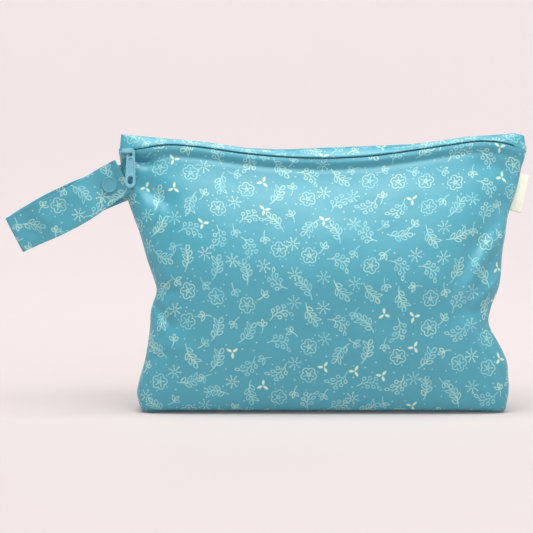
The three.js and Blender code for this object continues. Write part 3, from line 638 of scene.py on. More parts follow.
# %% [markdown]
# The slider and its pull are moulded plastic: flat parts with a small radius on every edge.
# Both are drawn as outlines in the slider's own frame, which leans back with the cloth, given
# a thickness and then bevelled. The slider's crown is a loop that stands on two legs over the
# pull's eye, so the pull hangs on the right leg and can swing forward on it.

# %% The slider's frame
pull_joint = next(j for j in frame["joints"] if j["name"] == "pull_swing")
slider_out = Vector(pull_joint["axis"])
slider_up = slider_out.cross(Vector((1, 0, 0)))
PULL_LEG = 2.9
leg_foot = Vector(pull_joint["pos_m"]) / MM
slider_middle = leg_foot - Vector((PULL_LEG, 0, 0))


def framed(middle):
    """The matrix from a local frame, x across, y up the plate and z out of it, to the bag."""
    basis = Matrix((Vector((1, 0, 0)), slider_up, slider_out)).transposed().to_4x4()
    basis.translation = middle
    return basis


print("slider leans back", round(math.degrees(math.asin(slider_out.z)), 1), "degrees")

# %% Moulded plates
def round_ended(top, bottom, top_radius, bottom_radius, steps=20):
    """An outline with a round head and a round tip, joined by straight sides."""
    head = np.linspace(0, math.pi, steps)
    tip = head + math.pi
    x = np.concatenate([top_radius * np.cos(head), bottom_radius * np.cos(tip)])
    y = np.concatenate([top - top_radius + top_radius * np.sin(head),
                        bottom + bottom_radius + bottom_radius * np.sin(tip)])
    return np.stack([x, y], axis=-1)


def rounded_box(width, height, corner, middle=(0, 0), steps=8):
    """A rectangle with round corners, as an outline."""
    points = []
    for quarter, (sx, sy) in enumerate([(1, 1), (-1, 1), (-1, -1), (1, -1)]):
        for turn in np.linspace(0, math.pi / 2, steps) + quarter * math.pi / 2:
            points.append((middle[0] + sx * (width / 2 - corner) + corner * math.cos(turn),
                           middle[1] + sy * (height / 2 - corner) + corner * math.sin(turn)))
    return np.array(points)


def moulded_plate(name, outlines, low, high, edge):
    """A plate with holes as a mesh in its own frame: the first outline bounds it."""
    curve = bpy.data.curves.new(name, "CURVE")
    curve.dimensions = "2D"
    curve.fill_mode = "BOTH"
    curve.extrude = (high - low) / 2 - edge
    curve.bevel_depth = edge
    curve.bevel_resolution = 2
    curve.offset = -edge
    for outline in outlines:
        spline = curve.splines.new("POLY")
        spline.points.add(len(outline) - 1)
        for point, (x, y) in zip(spline.points, outline):
            point.co = (x, y, 0, 1)
        spline.use_cyclic_u = True
    holder = bpy.data.objects.new(name, curve)
    bpy.context.scene.collection.objects.link(holder)
    bpy.context.view_layer.update()
    mesh = bpy.data.meshes.new_from_object(
        holder.evaluated_get(bpy.context.evaluated_depsgraph_get()))
    mesh.transform(Matrix.Translation((0, 0, (low + high) / 2)))
    bpy.data.objects.remove(holder)
    return mesh


def join_meshes(name, meshes, place, smooth_angle=40):
    """One object from meshes in a local frame, put in place and turned to metres."""
    shape = bmesh.new()
    for mesh in meshes:
        shape.from_mesh(mesh)
        bpy.data.meshes.remove(mesh)
    bmesh.ops.transform(shape, matrix=Matrix.Scale(MM, 4) @ place, verts=shape.verts)
    joined = bpy.data.meshes.new(name)
    shape.to_mesh(joined)
    shape.free()
    joined.polygons.foreach_set("use_smooth", [True] * len(joined.polygons))
    joined.set_sharp_from_angle(angle=math.radians(smooth_angle))
    piece = bpy.data.objects.new(name, joined)
    bpy.context.scene.collection.objects.link(piece)
    return piece

# %% Slider
SLIDER_LENGTH = 8.6
SLIDER_HEIGHT = 7.6
SLIDER_CORNER = 2.2
PLATE = 1.2
OUTER_EDGE = 0.4
INNER_EDGE = 0.3
THROAT = 2.0
NECK = {"width": 2.6, "height": 3.4, "corner": 1.2, "middle": (-1.4, 0)}
NECK_EDGE = 0.1
RAIL_SHORT = 2
RAIL = {"width": SLIDER_LENGTH - RAIL_SHORT, "height": 0.9, "corner": 0.4}
RAIL_OFF = 3.2
RAIL_REACH = 0.9
RAIL_EDGE = 0.2
SEAT = 0.4
CROWN_FOOT = 0.8
CROWN_TOP = 5.5
CROWN_WIDTH = 2.6
CROWN_LENGTH = 8.8
CROWN_WALL = 1.35
CROWN_CORNER = 1.7
CROWN_HOLE_CORNER = 0.7
CROWN_EDGE = 0.5

shield = rounded_box(SLIDER_LENGTH, SLIDER_HEIGHT, SLIDER_CORNER)
outer_plate = moulded_plate("outer_plate", [shield], 0, PLATE, OUTER_EDGE)
inner_plate = moulded_plate("inner_plate", [shield], -THROAT - PLATE, -THROAT, INNER_EDGE)
neck = moulded_plate("neck", [rounded_box(**NECK)], -THROAT - SEAT, SEAT, NECK_EDGE)
rails = [moulded_plate("rail", [rounded_box(**RAIL, middle=(0, way * RAIL_OFF))],
                       -RAIL_REACH, SEAT, RAIL_EDGE) for way in (-1, 1)]
crown_height = CROWN_TOP - CROWN_FOOT
crown_middle = (0, (CROWN_TOP + CROWN_FOOT) / 2)
arch = rounded_box(CROWN_LENGTH, crown_height, CROWN_CORNER, crown_middle)
opening = rounded_box(CROWN_LENGTH - 2 * CROWN_WALL, crown_height - 2 * CROWN_WALL,
                      CROWN_HOLE_CORNER, crown_middle)
crown = moulded_plate("crown", [arch, opening], -CROWN_WIDTH / 2, CROWN_WIDTH / 2, CROWN_EDGE)
crown.transform(Matrix.Rotation(math.radians(90), 4, "X"))
slider = join_meshes("zip_slider_body", [outer_plate, inner_plate, neck, *rails, crown],
                     framed(slider_middle))
finish_piece(slider, "bag", "zip_plastic", "zip_slider")

# %% Pull
PULL_BACK = 1.6
PULL_FRONT = 3.7
PULL_FACE = 3.0
PULL_TOP = 3.1
PULL_LENGTH = 31
PULL_HEAD = 3.1
PULL_TIP = 4.0
PULL_EDGE = 0.35
EYE_TOP, EYE_BOTTOM = 1.35, -3.4
EYE_HEAD, EYE_TIP = 1.35, 1.25
SLOT_TOP, SLOT_BOTTOM = -18.9, -25.3
SLOT_ROUND = 1.9
FACE_ABOVE_SLOT = 1.1
FACE_TOP, FACE_BOTTOM = -5.0, SLOT_TOP + FACE_ABOVE_SLOT
FACE_HEAD, FACE_TIP = 1.9, 2.3
RIM_SEAT = 0.7
RIM_EDGE = 0.3

pull_edge = round_ended(PULL_TOP, PULL_TOP - PULL_LENGTH, PULL_HEAD, PULL_TIP)
pull_eye = round_ended(EYE_TOP, EYE_BOTTOM, EYE_HEAD, EYE_TIP)
pull_slot = round_ended(SLOT_TOP, SLOT_BOTTOM, SLOT_ROUND, SLOT_ROUND)
pull_face = round_ended(FACE_TOP, FACE_BOTTOM, FACE_HEAD, FACE_TIP)
back_plate = moulded_plate("back_plate", [pull_edge, pull_eye, pull_slot],
                           PULL_BACK, PULL_FACE, PULL_EDGE)
rim_plate = moulded_plate("rim_plate", [pull_edge, pull_eye, pull_face, pull_slot],
                          PULL_FACE - RIM_SEAT, PULL_FRONT, RIM_EDGE)
pull = join_meshes("zip_pull_tab", [back_plate, rim_plate], framed(leg_foot))
finish_piece(pull, "pull", "zip_plastic", "zip_pull")

# %% [markdown]
# The strap is one tube of cloth turned flat and folded back on itself: both ends meet at the
# bag, where the back one is sewn into the side seam and the front one is held by the snap.
# It is modelled as a ribbon swept along that path, with rounded sides, and the two layers
# stand apart in a soft bulge as they do when a strap has been folded for a while.

# %% Strap path
STRAP_LENGTH = 95
STRAP_PLY = 1.4
STRAP_SLOPE = {"front": math.radians(28.6), "back": math.radians(25.6)}
STRAP_HEIGHT = 180.2
STRAP_PINCH = 1.2
STRAP_SEWN = 4
STRAP_TUCK = 1.4
FRONT_STEPS, TURN_STEPS, BACK_STEPS = 130, 12, 80
STRAP_LAYERS = {
    "from": [0, 6.7, 19.1, 38, 66.5, 83.6, 95],
    "back": [0, 1.2, 1.2, 1.2, 1.2, 1.8, 2.4],
    "gap": [7.4, 3.9, 3.9, 6.4, 6.4, 2.4, 1.2],
    "width": [27.4, 28.0, 28.8, 30.2, 30.6, 30.0, 29.2],
}
STRAP_BOW = {"front": -2.4, "back": 2.8}


def eased(table, along, column, at):
    """Values of a column, eased from row to row with no overshoot."""
    stations = np.array(table[along], float)
    values = np.array(table[column], float)
    i = int(np.clip(np.searchsorted(stations, at, side="left") - 1, 0, len(stations) - 2))
    t = min(max((at - stations[i]) / (stations[i + 1] - stations[i]), 0), 1)
    t = t * t * (3 - 2 * t)
    return float(values[i] * (1 - t) + values[i + 1] * t)


seam_share = section_at(STRAP_HEIGHT / float(lip_at(-1)))["left"]
strap_end = Vector((STRAP_TUCK - seam_share * HALF_WIDTH, 0, STRAP_HEIGHT))
front_slope = STRAP_SLOPE["front"]
strap_fold = strap_end - STRAP_LENGTH * Vector((math.cos(front_slope), 0, math.sin(front_slope)))


def layer_y(layer, from_end):
    """The middle of a layer's thickness at a distance from the strap's free end."""
    back = -eased(STRAP_LAYERS, "from", "back", from_end)
    gap = eased(STRAP_LAYERS, "from", "gap", from_end)
    return back if layer == "back" else back - STRAP_PLY - gap


def strap_bow(layer, from_end):
    """How far a layer's middle line lies to its upper side of a straight one."""
    wave = math.sin(math.pi * min(max(from_end / STRAP_LENGTH, 0), 1))
    return STRAP_BOW[layer] * (wave * wave if layer == "front" else wave)


def strap_stations():
    """Places along the strap: layer, slope, distance from the free end, and y."""
    turn_radius = (STRAP_PINCH + STRAP_PLY) / 2
    turn_from = STRAP_LENGTH - turn_radius
    stations = []
    for from_end in np.linspace(0, turn_from, FRONT_STEPS):
        stations.append(("front", STRAP_SLOPE["front"], from_end, layer_y("front", from_end)))
    middle = (layer_y("front", turn_from) + layer_y("back", turn_from)) / 2
    for turn in np.linspace(0, math.pi, TURN_STEPS)[1:-1]:
        share = turn / math.pi
        slope = STRAP_SLOPE["front"] * (1 - share) + STRAP_SLOPE["back"] * share
        stations.append(("front" if share < .5 else "back", slope,
                         turn_from + turn_radius * math.sin(turn),
                         middle - turn_radius * math.cos(turn)))
    for from_end in np.linspace(turn_from, -STRAP_SEWN, BACK_STEPS):
        stations.append(("back", STRAP_SLOPE["back"], from_end,
                         layer_y("back", max(from_end, 0))))
    return stations

# %% Strap
SECTION_ACROSS = 28
SECTION_ROUND = 4
STRAP_RIPPLE = 0.8
RIPPLE_CELL = 14
RIPPLE_SEED = 8
RIPPLE_STARTS, RIPPLE_ENDS = (20, 36), (86, 94)
STRAP_SEAMS = {"free_end": 2.6, "side": 1.6}
SEAM_DEPTH = 0.28
SEAM_SPREAD = 0.55
OTHER_FACE = 40


def ribbon_section(thickness):
    """The outline of a ribbon with rounded sides: shares across from -1 to 1, shifts past
    them, and distances through."""
    radius = thickness / 2
    turn = np.linspace(-math.pi / 2, math.pi / 2, SECTION_ROUND + 2)[1:-1]
    flat = np.linspace(-1, 1, SECTION_ACROSS)
    points = [(share, 0, -radius) for share in flat]
    points += [(1, radius * math.cos(a), radius * math.sin(a)) for a in turn]
    points += [(share, 0, radius) for share in flat[::-1]]
    points += [(-1, -radius * math.cos(a), -radius * math.sin(a)) for a in turn]
    return points


def sewn_in(distance, seam):
    """How far a line of stitches pulls the cloth in, at a distance from the cloth's edge."""
    return SEAM_DEPTH * math.exp(-((distance - seam) / SEAM_SPREAD) ** 2)


def make_strap():
    """The whole strap as a closed ribbon, with its flat-cloth map running along it."""
    stations = strap_stations()
    section = ribbon_section(STRAP_PLY)
    centres = []
    for layer, slope, from_end, y in stations:
        out = STRAP_LENGTH - from_end
        bow = strap_bow(layer, from_end)
        centres.append(Vector((strap_fold.x + out * math.cos(slope) - bow * math.sin(slope), y,
                               strap_fold.z + out * math.sin(slope) + bow * math.cos(slope))))
    points, place, run = [], [], 0
    for i, (layer, slope, from_end, y) in enumerate(stations):
        ahead = centres[min(i + 1, len(centres) - 1)]
        behind = centres[max(i - 1, 0)]
        wide = Vector((-math.sin(slope), 0, math.cos(slope)))
        thin = (ahead - behind).cross(wide).normalized()
        half = eased(STRAP_LAYERS, "from", "width", max(from_end, 0)) / 2 - STRAP_PLY / 2
        run += (centres[i] - centres[i - 1]).length if i else 0
        free = smoothstep(*RIPPLE_STARTS, from_end) * (1 - smoothstep(*RIPPLE_ENDS, from_end))
        for share, past, through in section:
            across = share * half + past
            ripple = float(soft_noise(np.array(from_end), np.array(across),
                                      RIPPLE_CELL, RIPPLE_SEED))
            lift = STRAP_RIPPLE * ripple * float(free) * (1 - share ** 4)
            dip = sewn_in(half - abs(share) * half, STRAP_SEAMS["side"])
            if layer == "front":
                dip = max(dip, sewn_in(from_end, STRAP_SEAMS["free_end"]))
            through = math.copysign(max(abs(through) - dip, 0), through)
            spot = centres[i] + wide * across + thin * (through + lift)
            points.append(spot)
            place.append((run, across + (OTHER_FACE if through > 0 else 0)))
    faces = tube_faces(len(stations), len(section))
    return make_piece("strap_cloth", points, faces, place)


strap = make_strap()
finish_piece(strap, "bag", "printed_cloth", "strap")

# %% [markdown]
# The snap is four moulded parts on one axis: a cap outside each layer, a socket under the
# front one and a stud on the back one. Each is turned from a profile of radius and distance,
# which is how its mould is cut too.

# %% Snap
SNAP_INSET = 12.9
SNAP_DROP = 1.0
ROUND_STEPS = 56
CAP_SEAT = 0.05
RING_SEAT = 0.1
# pairs of radius and distance from the seat
CAP = [(1.3, -2.0), (1.3, 0), (5.5, 0), (5.9, .1), (6.2, .4), (6.2, 1.1), (6.12, 1.4),
       (5.9, 1.66), (5.55, 1.8), (5.2, 1.8), (4.95, 1.7), (4.75, 1.56), (4.4, 1.5),
       (2.4, 1.54), (.05, 1.56)]
SOCKET = [(1.5, 0), (5.0, 0), (5.2, .3), (5.2, 1.4), (4.9, 1.8), (2.5, 1.8), (2.3, 1.5),
          (2.3, .8), (1.5, .8)]
STUD = [(.05, 0), (5.0, 0), (5.2, .3), (5.2, 1.0), (4.9, 1.3), (2.1, 1.4), (2.0, 2.1),
        (1.6, 2.4), (.05, 2.4)]

front_wide = Vector((-math.sin(front_slope), 0, math.cos(front_slope)))
snap_centre = strap_fold - SNAP_DROP * front_wide
snap_centre += (STRAP_LENGTH - SNAP_INSET) * Vector(
    (math.cos(front_slope), 0, math.sin(front_slope)))
front_face = layer_y("front", SNAP_INSET) - STRAP_PLY / 2
back_face = layer_y("back", SNAP_INSET) + STRAP_PLY / 2


def turned(name, node, profile, seat, way):
    """A part turned about the snap's axis, which runs front to back: to the back if way is
    1, and to the front if it is -1."""
    turns = np.arange(ROUND_STEPS) * 2 * math.pi / ROUND_STEPS
    points = [(snap_centre.x + radius * math.cos(turn), seat + way * up,
               snap_centre.z + radius * math.sin(turn)) for radius, up in profile for turn in turns]
    piece = make_piece(name, points, tube_faces(len(profile), ROUND_STEPS))
    piece.data.set_sharp_from_angle(angle=math.radians(50))
    finish_piece(piece, "bag", "snap_plastic", node)
    return piece


snap_parts = [
    turned("snap_cap_outside", "snap_cap_front", CAP, front_face - CAP_SEAT, -1),
    turned("snap_cap_inside", "snap_cap_back", CAP, back_face + CAP_SEAT, 1),
    turned("snap_socket_ring", "snap_socket", SOCKET, front_face + STRAP_PLY + RING_SEAT, 1),
    turned("snap_stud_ring", "snap_stud", STUD, back_face - STRAP_PLY - RING_SEAT, -1)]

# %% [markdown]
# The side label is a short cotton tape folded in half, with both ends caught in the right
# seam. It is left blank. Its two layers stand a little apart at the fold.

# %% Side label
LABEL_LENGTH = 29
LABEL_REACH = 7.6
LABEL_PLY = 0.55
LABEL_GAP = 0.5
LABEL_MIDDLE = 167.6
LABEL_SEWN = 3
LABEL_BOW = 0.35
LABEL_STEPS, LABEL_TURN_STEPS, LABEL_COLUMNS = 14, 9, 30


def right_seam(height):
    """Where the right side seam stands at a height."""
    share = section_at(height / float(lip_at(1)))["right"]
    return Vector((share * HALF_WIDTH, 0, height))


def make_label():
    """The folded tape as a sheet, from one sewn end round its fold to the other."""
    foot = right_seam(LABEL_MIDDLE - LABEL_LENGTH / 2)
    head = right_seam(LABEL_MIDDLE + LABEL_LENGTH / 2)
    up = (head - foot).normalized()
    out = Vector((up.z, 0, -up.x))
    radius = LABEL_GAP / 2 + LABEL_PLY
    turn = LABEL_REACH - radius
    path = [(u, -radius) for u in np.linspace(-LABEL_SEWN, turn, LABEL_STEPS)]
    path += [(turn + radius * math.cos(a), radius * math.sin(a))
             for a in np.linspace(-math.pi / 2, math.pi / 2, LABEL_TURN_STEPS)[1:-1]]
    path += [(u, radius) for u in np.linspace(turn, -LABEL_SEWN, LABEL_STEPS)]
    points, place = [], []
    run = 0
    for i, (u, v) in enumerate(path):
        run += math.dist(path[i], path[i - 1]) if i else 0
        for along in np.linspace(0, LABEL_LENGTH, LABEL_COLUMNS):
            bow = LABEL_BOW * math.sin(math.pi * along / LABEL_LENGTH) * max(u, 0) / LABEL_REACH
            points.append(foot + up * along + out * u + Vector((0, v - bow, 0)))
            place.append((along, run))
    faces = grid_faces(len(path), LABEL_COLUMNS, turned_over=True)
    return make_piece("label_tape", points, faces, place)


label = make_label()
thicken(label, LABEL_PLY)
finish_piece(label, "bag", "label_cotton", "side_label")

# %% [markdown]
# Materials come next. Colours are the photograph's, read as sRGB hex and turned linear by
# one function; one more function adds a node, sets it and links what feeds it.

# %% Colour and node helpers
def linear(hex_colour):
    """A hex sRGB colour as linear red, green, blue and an alpha of 1."""
    channels = [int(hex_colour[i:i + 2], 16) / 255 for i in (0, 2, 4)]
    return tuple(c / 12.92 if c <= 0.04045 else ((c + 0.055) / 1.055) ** 2.4
                 for c in channels) + (1.0,)


def add_node(tree, kind, *feeds, **settings):
    """Adds a shader node of a kind, or of a kind and its operation with a dot between. Feeds
    are its inputs in order, or by name or number in a dict: each a value or a source, which
    is a node's first output or a socket. Settings are its properties."""
    kind, _, operation = kind.partition(".")
    node = tree.nodes.new("ShaderNode" + kind)
    if operation:
        node.operation = operation
    for name, value in settings.items():
        setattr(node, name, value)
    for place, feed in enumerate(feeds):
        for name, value in (feed if isinstance(feed, dict) else {place: feed}).items():
            if isinstance(value, bpy.types.Node):
                value = value.outputs[0]
            if isinstance(value, bpy.types.NodeSocket):
                tree.links.new(value, node.inputs[name])
            else:
                node.inputs[name].default_value = value
    return node


def new_material(name):
    """An empty node material and its tree."""
    material = bpy.data.materials.new(name)
    material.use_nodes = True
    material.node_tree.nodes.clear()
    return material, material.node_tree

# %% [markdown]
# The cloth's print is a generic one of the same scale and colours as the photograph's: thin
# light lines on blue, small dots and a few filled shapes, here as leaf sprigs, berry twigs and
# five-petalled blossoms. Each motif is drawn as a distance field, the distance in millimetres
# to its nearest line, so a line is wherever that distance is small. A shape is folded onto
# itself first, so one leaf drawn once shows on both sides of a stem.

# %% Print motifs
def fold_to_shoot(tree, place, bow, spacing, pairs, slope, stagger):
    """Folds a bowed stem's side shoots onto one. Gives the place along and across that shoot,
    and the place by the stem as its length and its distance."""
    along = add_node(tree, "SeparateXYZ", place)
    square = add_node(tree, "Math.MULTIPLY", along.outputs[0], along.outputs[0])
    bent = add_node(tree, "Math.MULTIPLY_ADD", square, bow, along.outputs[1])
    side = add_node(tree, "Math.SIGN", bent)
    off = add_node(tree, "Math.ABSOLUTE", bent)
    shifted = add_node(tree, "Math.MULTIPLY_ADD", side, stagger, along.outputs[0])
    rooted = add_node(tree, "Math.MULTIPLY_ADD", off, -1 / math.tan(slope), shifted)
    centred = add_node(tree, "Math.ADD", rooted, spacing / 2)
    snapped = add_node(tree, "Math.SNAP", centred, spacing)
    nearest = add_node(tree, "Clamp", snapped, -pairs * spacing, pairs * spacing)
    local = add_node(tree, "Math.SUBTRACT", shifted, nearest)
    shoot = add_node(tree, "CombineXYZ", local, off)
    turned_back = add_node(tree, "VectorRotate", shoot, {"Angle": -slope}, rotation_type="Z_AXIS")
    return turned_back, along.outputs[0], off


def leaf_field(tree, place, middle, half_length, half_width):
    """Signed distance to an almond leaf lying along x, which two round arcs bound."""
    radius = (half_length ** 2 + half_width ** 2) / (2 * half_width)
    from_middle = add_node(tree, "VectorMath.SUBTRACT", place, (middle, 0, 0))
    folded = add_node(tree, "VectorMath.ABSOLUTE", from_middle)
    to_centre = add_node(tree, "VectorMath.ADD", folded, (0, radius - half_width, 0))
    reach = add_node(tree, "VectorMath.LENGTH", to_centre)
    return add_node(tree, "Math.SUBTRACT", reach.outputs["Value"], radius)


def ring_field(tree, place, middle, radius):
    """Signed distance to a circle whose centre lies on x."""
    from_middle = add_node(tree, "VectorMath.SUBTRACT", place, (middle, 0, 0))
    reach = add_node(tree, "VectorMath.LENGTH", from_middle)
    return add_node(tree, "Math.SUBTRACT", reach.outputs["Value"], radius)


def line_field(tree, along, off, middle, half_length):
    """Distance to a straight line along x, past whose ends the distance grows."""
    from_middle = add_node(tree, "Math.SUBTRACT", along, middle)
    spread = add_node(tree, "Math.ABSOLUTE", from_middle)
    past = add_node(tree, "Math.SUBTRACT", spread, half_length)
    beside = add_node(tree, "Math.ABSOLUTE", off)
    return add_node(tree, "Math.MAXIMUM", past, beside)


def nearest_of(tree, *fields):
    """The smallest of several distances, each taken without its sign."""
    nearest = None
    for field in fields:
        edge = add_node(tree, "Math.ABSOLUTE", field)
        if nearest is None:
            nearest = edge
        else:
            nearest = add_node(tree, "Math.MINIMUM", nearest, edge)
    return nearest


def fold_to_petal(tree, place, petals, offset=0.0):
    """Turns every petal of a ring of them onto the one that lies along x."""
    sector = 2 * math.pi / petals
    parts = add_node(tree, "SeparateXYZ", place)
    angle = add_node(tree, "Math.ARCTAN2", parts.outputs[1], parts.outputs[0])
    moved = add_node(tree, "Math.ADD", angle, sector / 2 + offset)
    snapped = add_node(tree, "Math.SNAP", moved, sector)
    back = add_node(tree, "Math.SUBTRACT", offset, snapped)
    return add_node(tree, "VectorRotate", place, {"Angle": back}, rotation_type="Z_AXIS")


def leaf_sprig(tree, place):
    """A bowed stem with leaves set by turns on both sides, and one at its tip."""
    shoot, along, off = fold_to_shoot(tree, place, bow=-.03, spacing=4.6, pairs=1,
                                     slope=math.radians(40), stagger=1.3)
    leaf = leaf_field(tree, shoot, middle=3.3, half_length=2.7, half_width=1.15)
    stem = line_field(tree, along, off, middle=-.6, half_length=8.2)
    return nearest_of(tree, leaf, stem)


def berry_twig(tree, place):
    """A bowed stem with short stalks, each with a round berry."""
    shoot, along, off = fold_to_shoot(tree, place, bow=.032, spacing=4.4, pairs=1,
                                     slope=math.radians(52), stagger=1.1)
    berry = ring_field(tree, shoot, middle=4.4, radius=1.25)
    parts = add_node(tree, "SeparateXYZ", shoot)
    stalk = line_field(tree, *parts.outputs[:2], middle=1.6, half_length=1.5)
    stem = line_field(tree, along, off, middle=-.6, half_length=7.6)
    return nearest_of(tree, berry, stalk, stem)


def blossom(tree, place):
    """Five round petals round a small eye, with a dot between each two."""
    petal_place = fold_to_petal(tree, place, 5)
    petal = ring_field(tree, petal_place, middle=3.4, radius=2.5)
    parts = add_node(tree, "SeparateXYZ", petal_place)
    vein = line_field(tree, *parts.outputs[:2], middle=3.0, half_length=.9)
    eye = ring_field(tree, petal_place, middle=0, radius=1.15)
    between = fold_to_petal(tree, place, 5, math.pi / 5)
    dot = ring_field(tree, between, middle=7.2, radius=.15)
    return nearest_of(tree, petal, vein, eye, dot)


def small_sprig(tree, place):
    """Three leaves on a short stem."""
    shoot, along, off = fold_to_shoot(tree, place, bow=-.05, spacing=9, pairs=0,
                                     slope=math.radians(48), stagger=0)
    leaf = leaf_field(tree, shoot, middle=2.6, half_length=2.1, half_width=.95)
    tip = leaf_field(tree, place, middle=3.5, half_length=1.9, half_width=.9)
    stem = line_field(tree, along, off, middle=-1.6, half_length=3.2)
    return nearest_of(tree, leaf, tip, stem)


def seed_head(tree, place):
    """Seven short strokes with a dot at the end of each."""
    stroke_place = fold_to_petal(tree, place, 7)
    parts = add_node(tree, "SeparateXYZ", stroke_place)
    stroke = line_field(tree, *parts.outputs[:2], middle=2.4, half_length=1.1)
    dot = ring_field(tree, stroke_place, middle=4.7, radius=.3)
    return nearest_of(tree, stroke, dot)

# %% [markdown]
# The motifs are scattered on two sheared grids, the big ones on one and the small ones in
# its gaps, each turned and shifted by chance so that no row shows. A third, finer grid holds
# the dots, which are left out where a motif already is.

# %% Print layout
PITCH = 22.5
SHEAR = 0.15
LINE_HALF = 0.37
LINE_SOFT = 0.2
SPRIG_SHARE = .38
TWIG_SHARE = .7
SMALL_SPRIG_SHARE = .52
OUTLINED_SHARE = .82
DOT_PITCH = 7.5
DOT_RADIUS = .2
DOT_CLEAR = 2.0
DOT_SHARE = .6
FAR_AWAY = 9.0


def scatter(tree, place, pitch, start, shift, turn, seed):
    """A slightly sheared grid of cells: the place in each cell, turned and shifted by chance,
    and the chance values themselves."""
    moved = add_node(tree, "VectorMath.ADD", place, (*start, 0))
    scaled = add_node(tree, "VectorMath.MULTIPLY", moved, (1 / pitch, 1 / pitch, 0))
    parts = add_node(tree, "SeparateXYZ", scaled)
    column = add_node(tree, "Math.FLOOR", parts.outputs[0])
    drop = add_node(tree, "Math.MULTIPLY_ADD", column, SHEAR, parts.outputs[1])
    dropped = add_node(tree, "CombineXYZ", parts.outputs[0], drop)
    cell = add_node(tree, "VectorMath.FLOOR", dropped)
    within = add_node(tree, "VectorMath.FRACTION", dropped)
    seeded = add_node(tree, "VectorMath.ADD", cell, (seed, seed, 0))
    chance = add_node(tree, "TexWhiteNoise", {"Vector": seeded}, noise_dimensions="2D")
    middle = add_node(tree, "VectorMath.SUBTRACT", within, (0.5, 0.5, 0))
    local = add_node(tree, "VectorMath.MULTIPLY", middle, (pitch, pitch, 0))
    jitter = add_node(tree, "MapRange", {"Vector": chance.outputs["Color"],
                                         "To Min": (-shift, -shift, 0),
                                         "To Max": (shift, shift, 0)}, data_type="FLOAT_VECTOR")
    shifted = add_node(tree, "VectorMath.SUBTRACT", local, jitter.outputs["Vector"])
    swing = add_node(tree, "MapRange", chance.outputs["Value"], {"To Min": -turn, "To Max": turn})
    turned_place = add_node(tree, "VectorRotate", shifted, {"Angle": swing},
                            rotation_type="Z_AXIS")
    return turned_place, chance


def choose(tree, chance, share, first, second):
    """The first field where the chance value is under a share, else the second."""
    parts = add_node(tree, "SeparateXYZ", chance.outputs["Color"])
    over = add_node(tree, "Math.GREATER_THAN", parts.outputs[2], share)
    return add_node(tree, "Mix", over, {"A": first, "B": second}, data_type="FLOAT")


def make_print():
    """The print as a node group: cloth place in, how much of it is line and is filled out."""
    group = bpy.data.node_groups.new("meadow_print", "ShaderNodeTree")
    group.interface.new_socket("Place", in_out="INPUT", socket_type="NodeSocketVector")
    group.interface.new_socket("Line", in_out="OUTPUT", socket_type="NodeSocketFloat")
    group.interface.new_socket("Filled", in_out="OUTPUT", socket_type="NodeSocketFloat")
    entry = group.nodes.new("NodeGroupInput")
    leave = group.nodes.new("NodeGroupOutput")
    place = entry.outputs[0]
    big_place, big_chance = scatter(group, place, PITCH, start=(0, 0), shift=1.6,
                                    turn=math.pi, seed=7)
    drawn = choose(group, big_chance, TWIG_SHARE, berry_twig(group, big_place),
                   blossom(group, big_place))
    big = choose(group, big_chance, SPRIG_SHARE, leaf_sprig(group, big_place), drawn)
    small_place, small_chance = scatter(group, place, PITCH, start=(PITCH / 2, PITCH * .575),
                                        shift=1.0, turn=math.pi, seed=31)
    pair = fold_to_petal(group, small_place, 3)
    petal = leaf_field(group, pair, middle=2.6, half_length=2.0, half_width=.8)
    filled = add_node(group, "MapRange", petal, {"From Min": .1, "From Max": -.1})
    outlined = choose(group, small_chance, SMALL_SPRIG_SHARE, small_sprig(group, small_place),
                      seed_head(group, small_place))
    small = choose(group, small_chance, OUTLINED_SHARE, outlined, petal)
    edge = add_node(group, "Math.ABSOLUTE", small)
    field = add_node(group, "Math.MINIMUM", big, edge)
    dot_place, dot_chance = scatter(group, place, DOT_PITCH, start=(3, 3), shift=1.8,
                                    turn=0, seed=53)
    dot = ring_field(group, dot_place, middle=0, radius=DOT_RADIUS)
    crowded = add_node(group, "Math.LESS_THAN", field, DOT_CLEAR)
    parts = add_node(group, "SeparateXYZ", dot_chance.outputs["Color"])
    sparse = add_node(group, "Math.GREATER_THAN", parts.outputs[2], DOT_SHARE)
    pushed = add_node(group, "Math.ADD", crowded, sparse)
    lone = add_node(group, "Math.MULTIPLY_ADD", pushed, FAR_AWAY, dot)
    nearest = add_node(group, "Math.MINIMUM", field, lone)
    line = add_node(group, "MapRange", nearest, {"From Min": LINE_HALF + LINE_SOFT,
                                                 "From Max": LINE_HALF - LINE_SOFT},
                    interpolation_type="SMOOTHSTEP")
    small_parts = add_node(group, "SeparateXYZ", small_chance.outputs["Color"])
    is_filled = add_node(group, "Math.GREATER_THAN", small_parts.outputs[2], OUTLINED_SHARE)
    solid = add_node(group, "Math.MULTIPLY", filled, is_filled)
    group.links.new(line.outputs[0], leave.inputs["Line"])
    group.links.new(solid.outputs[0], leave.inputs["Filled"])
    print("print group has", len(group.nodes), "nodes")
    return group


meadow_print = make_print()

# %% [markdown]
# The cloth is a polyester knit with a laminated inside, which stands stiffer than plain
# cloth and has a faint sheen. Its stitches are about half a millimetre wide, too fine for the
# picture, so the ribs are drawn about twice as coarse. The ink of the print lies unevenly.

# %% Printed cloth
RIB_PITCH = 0.9
KNIT_DEPTH = 0.06
CRINKLE_SIZE = 14
CRINKLE_DEPTH = 1.2
MOTTLE_SIZE = 30
TONE_SIZE = 16
WEAR_SIZE = 1.6

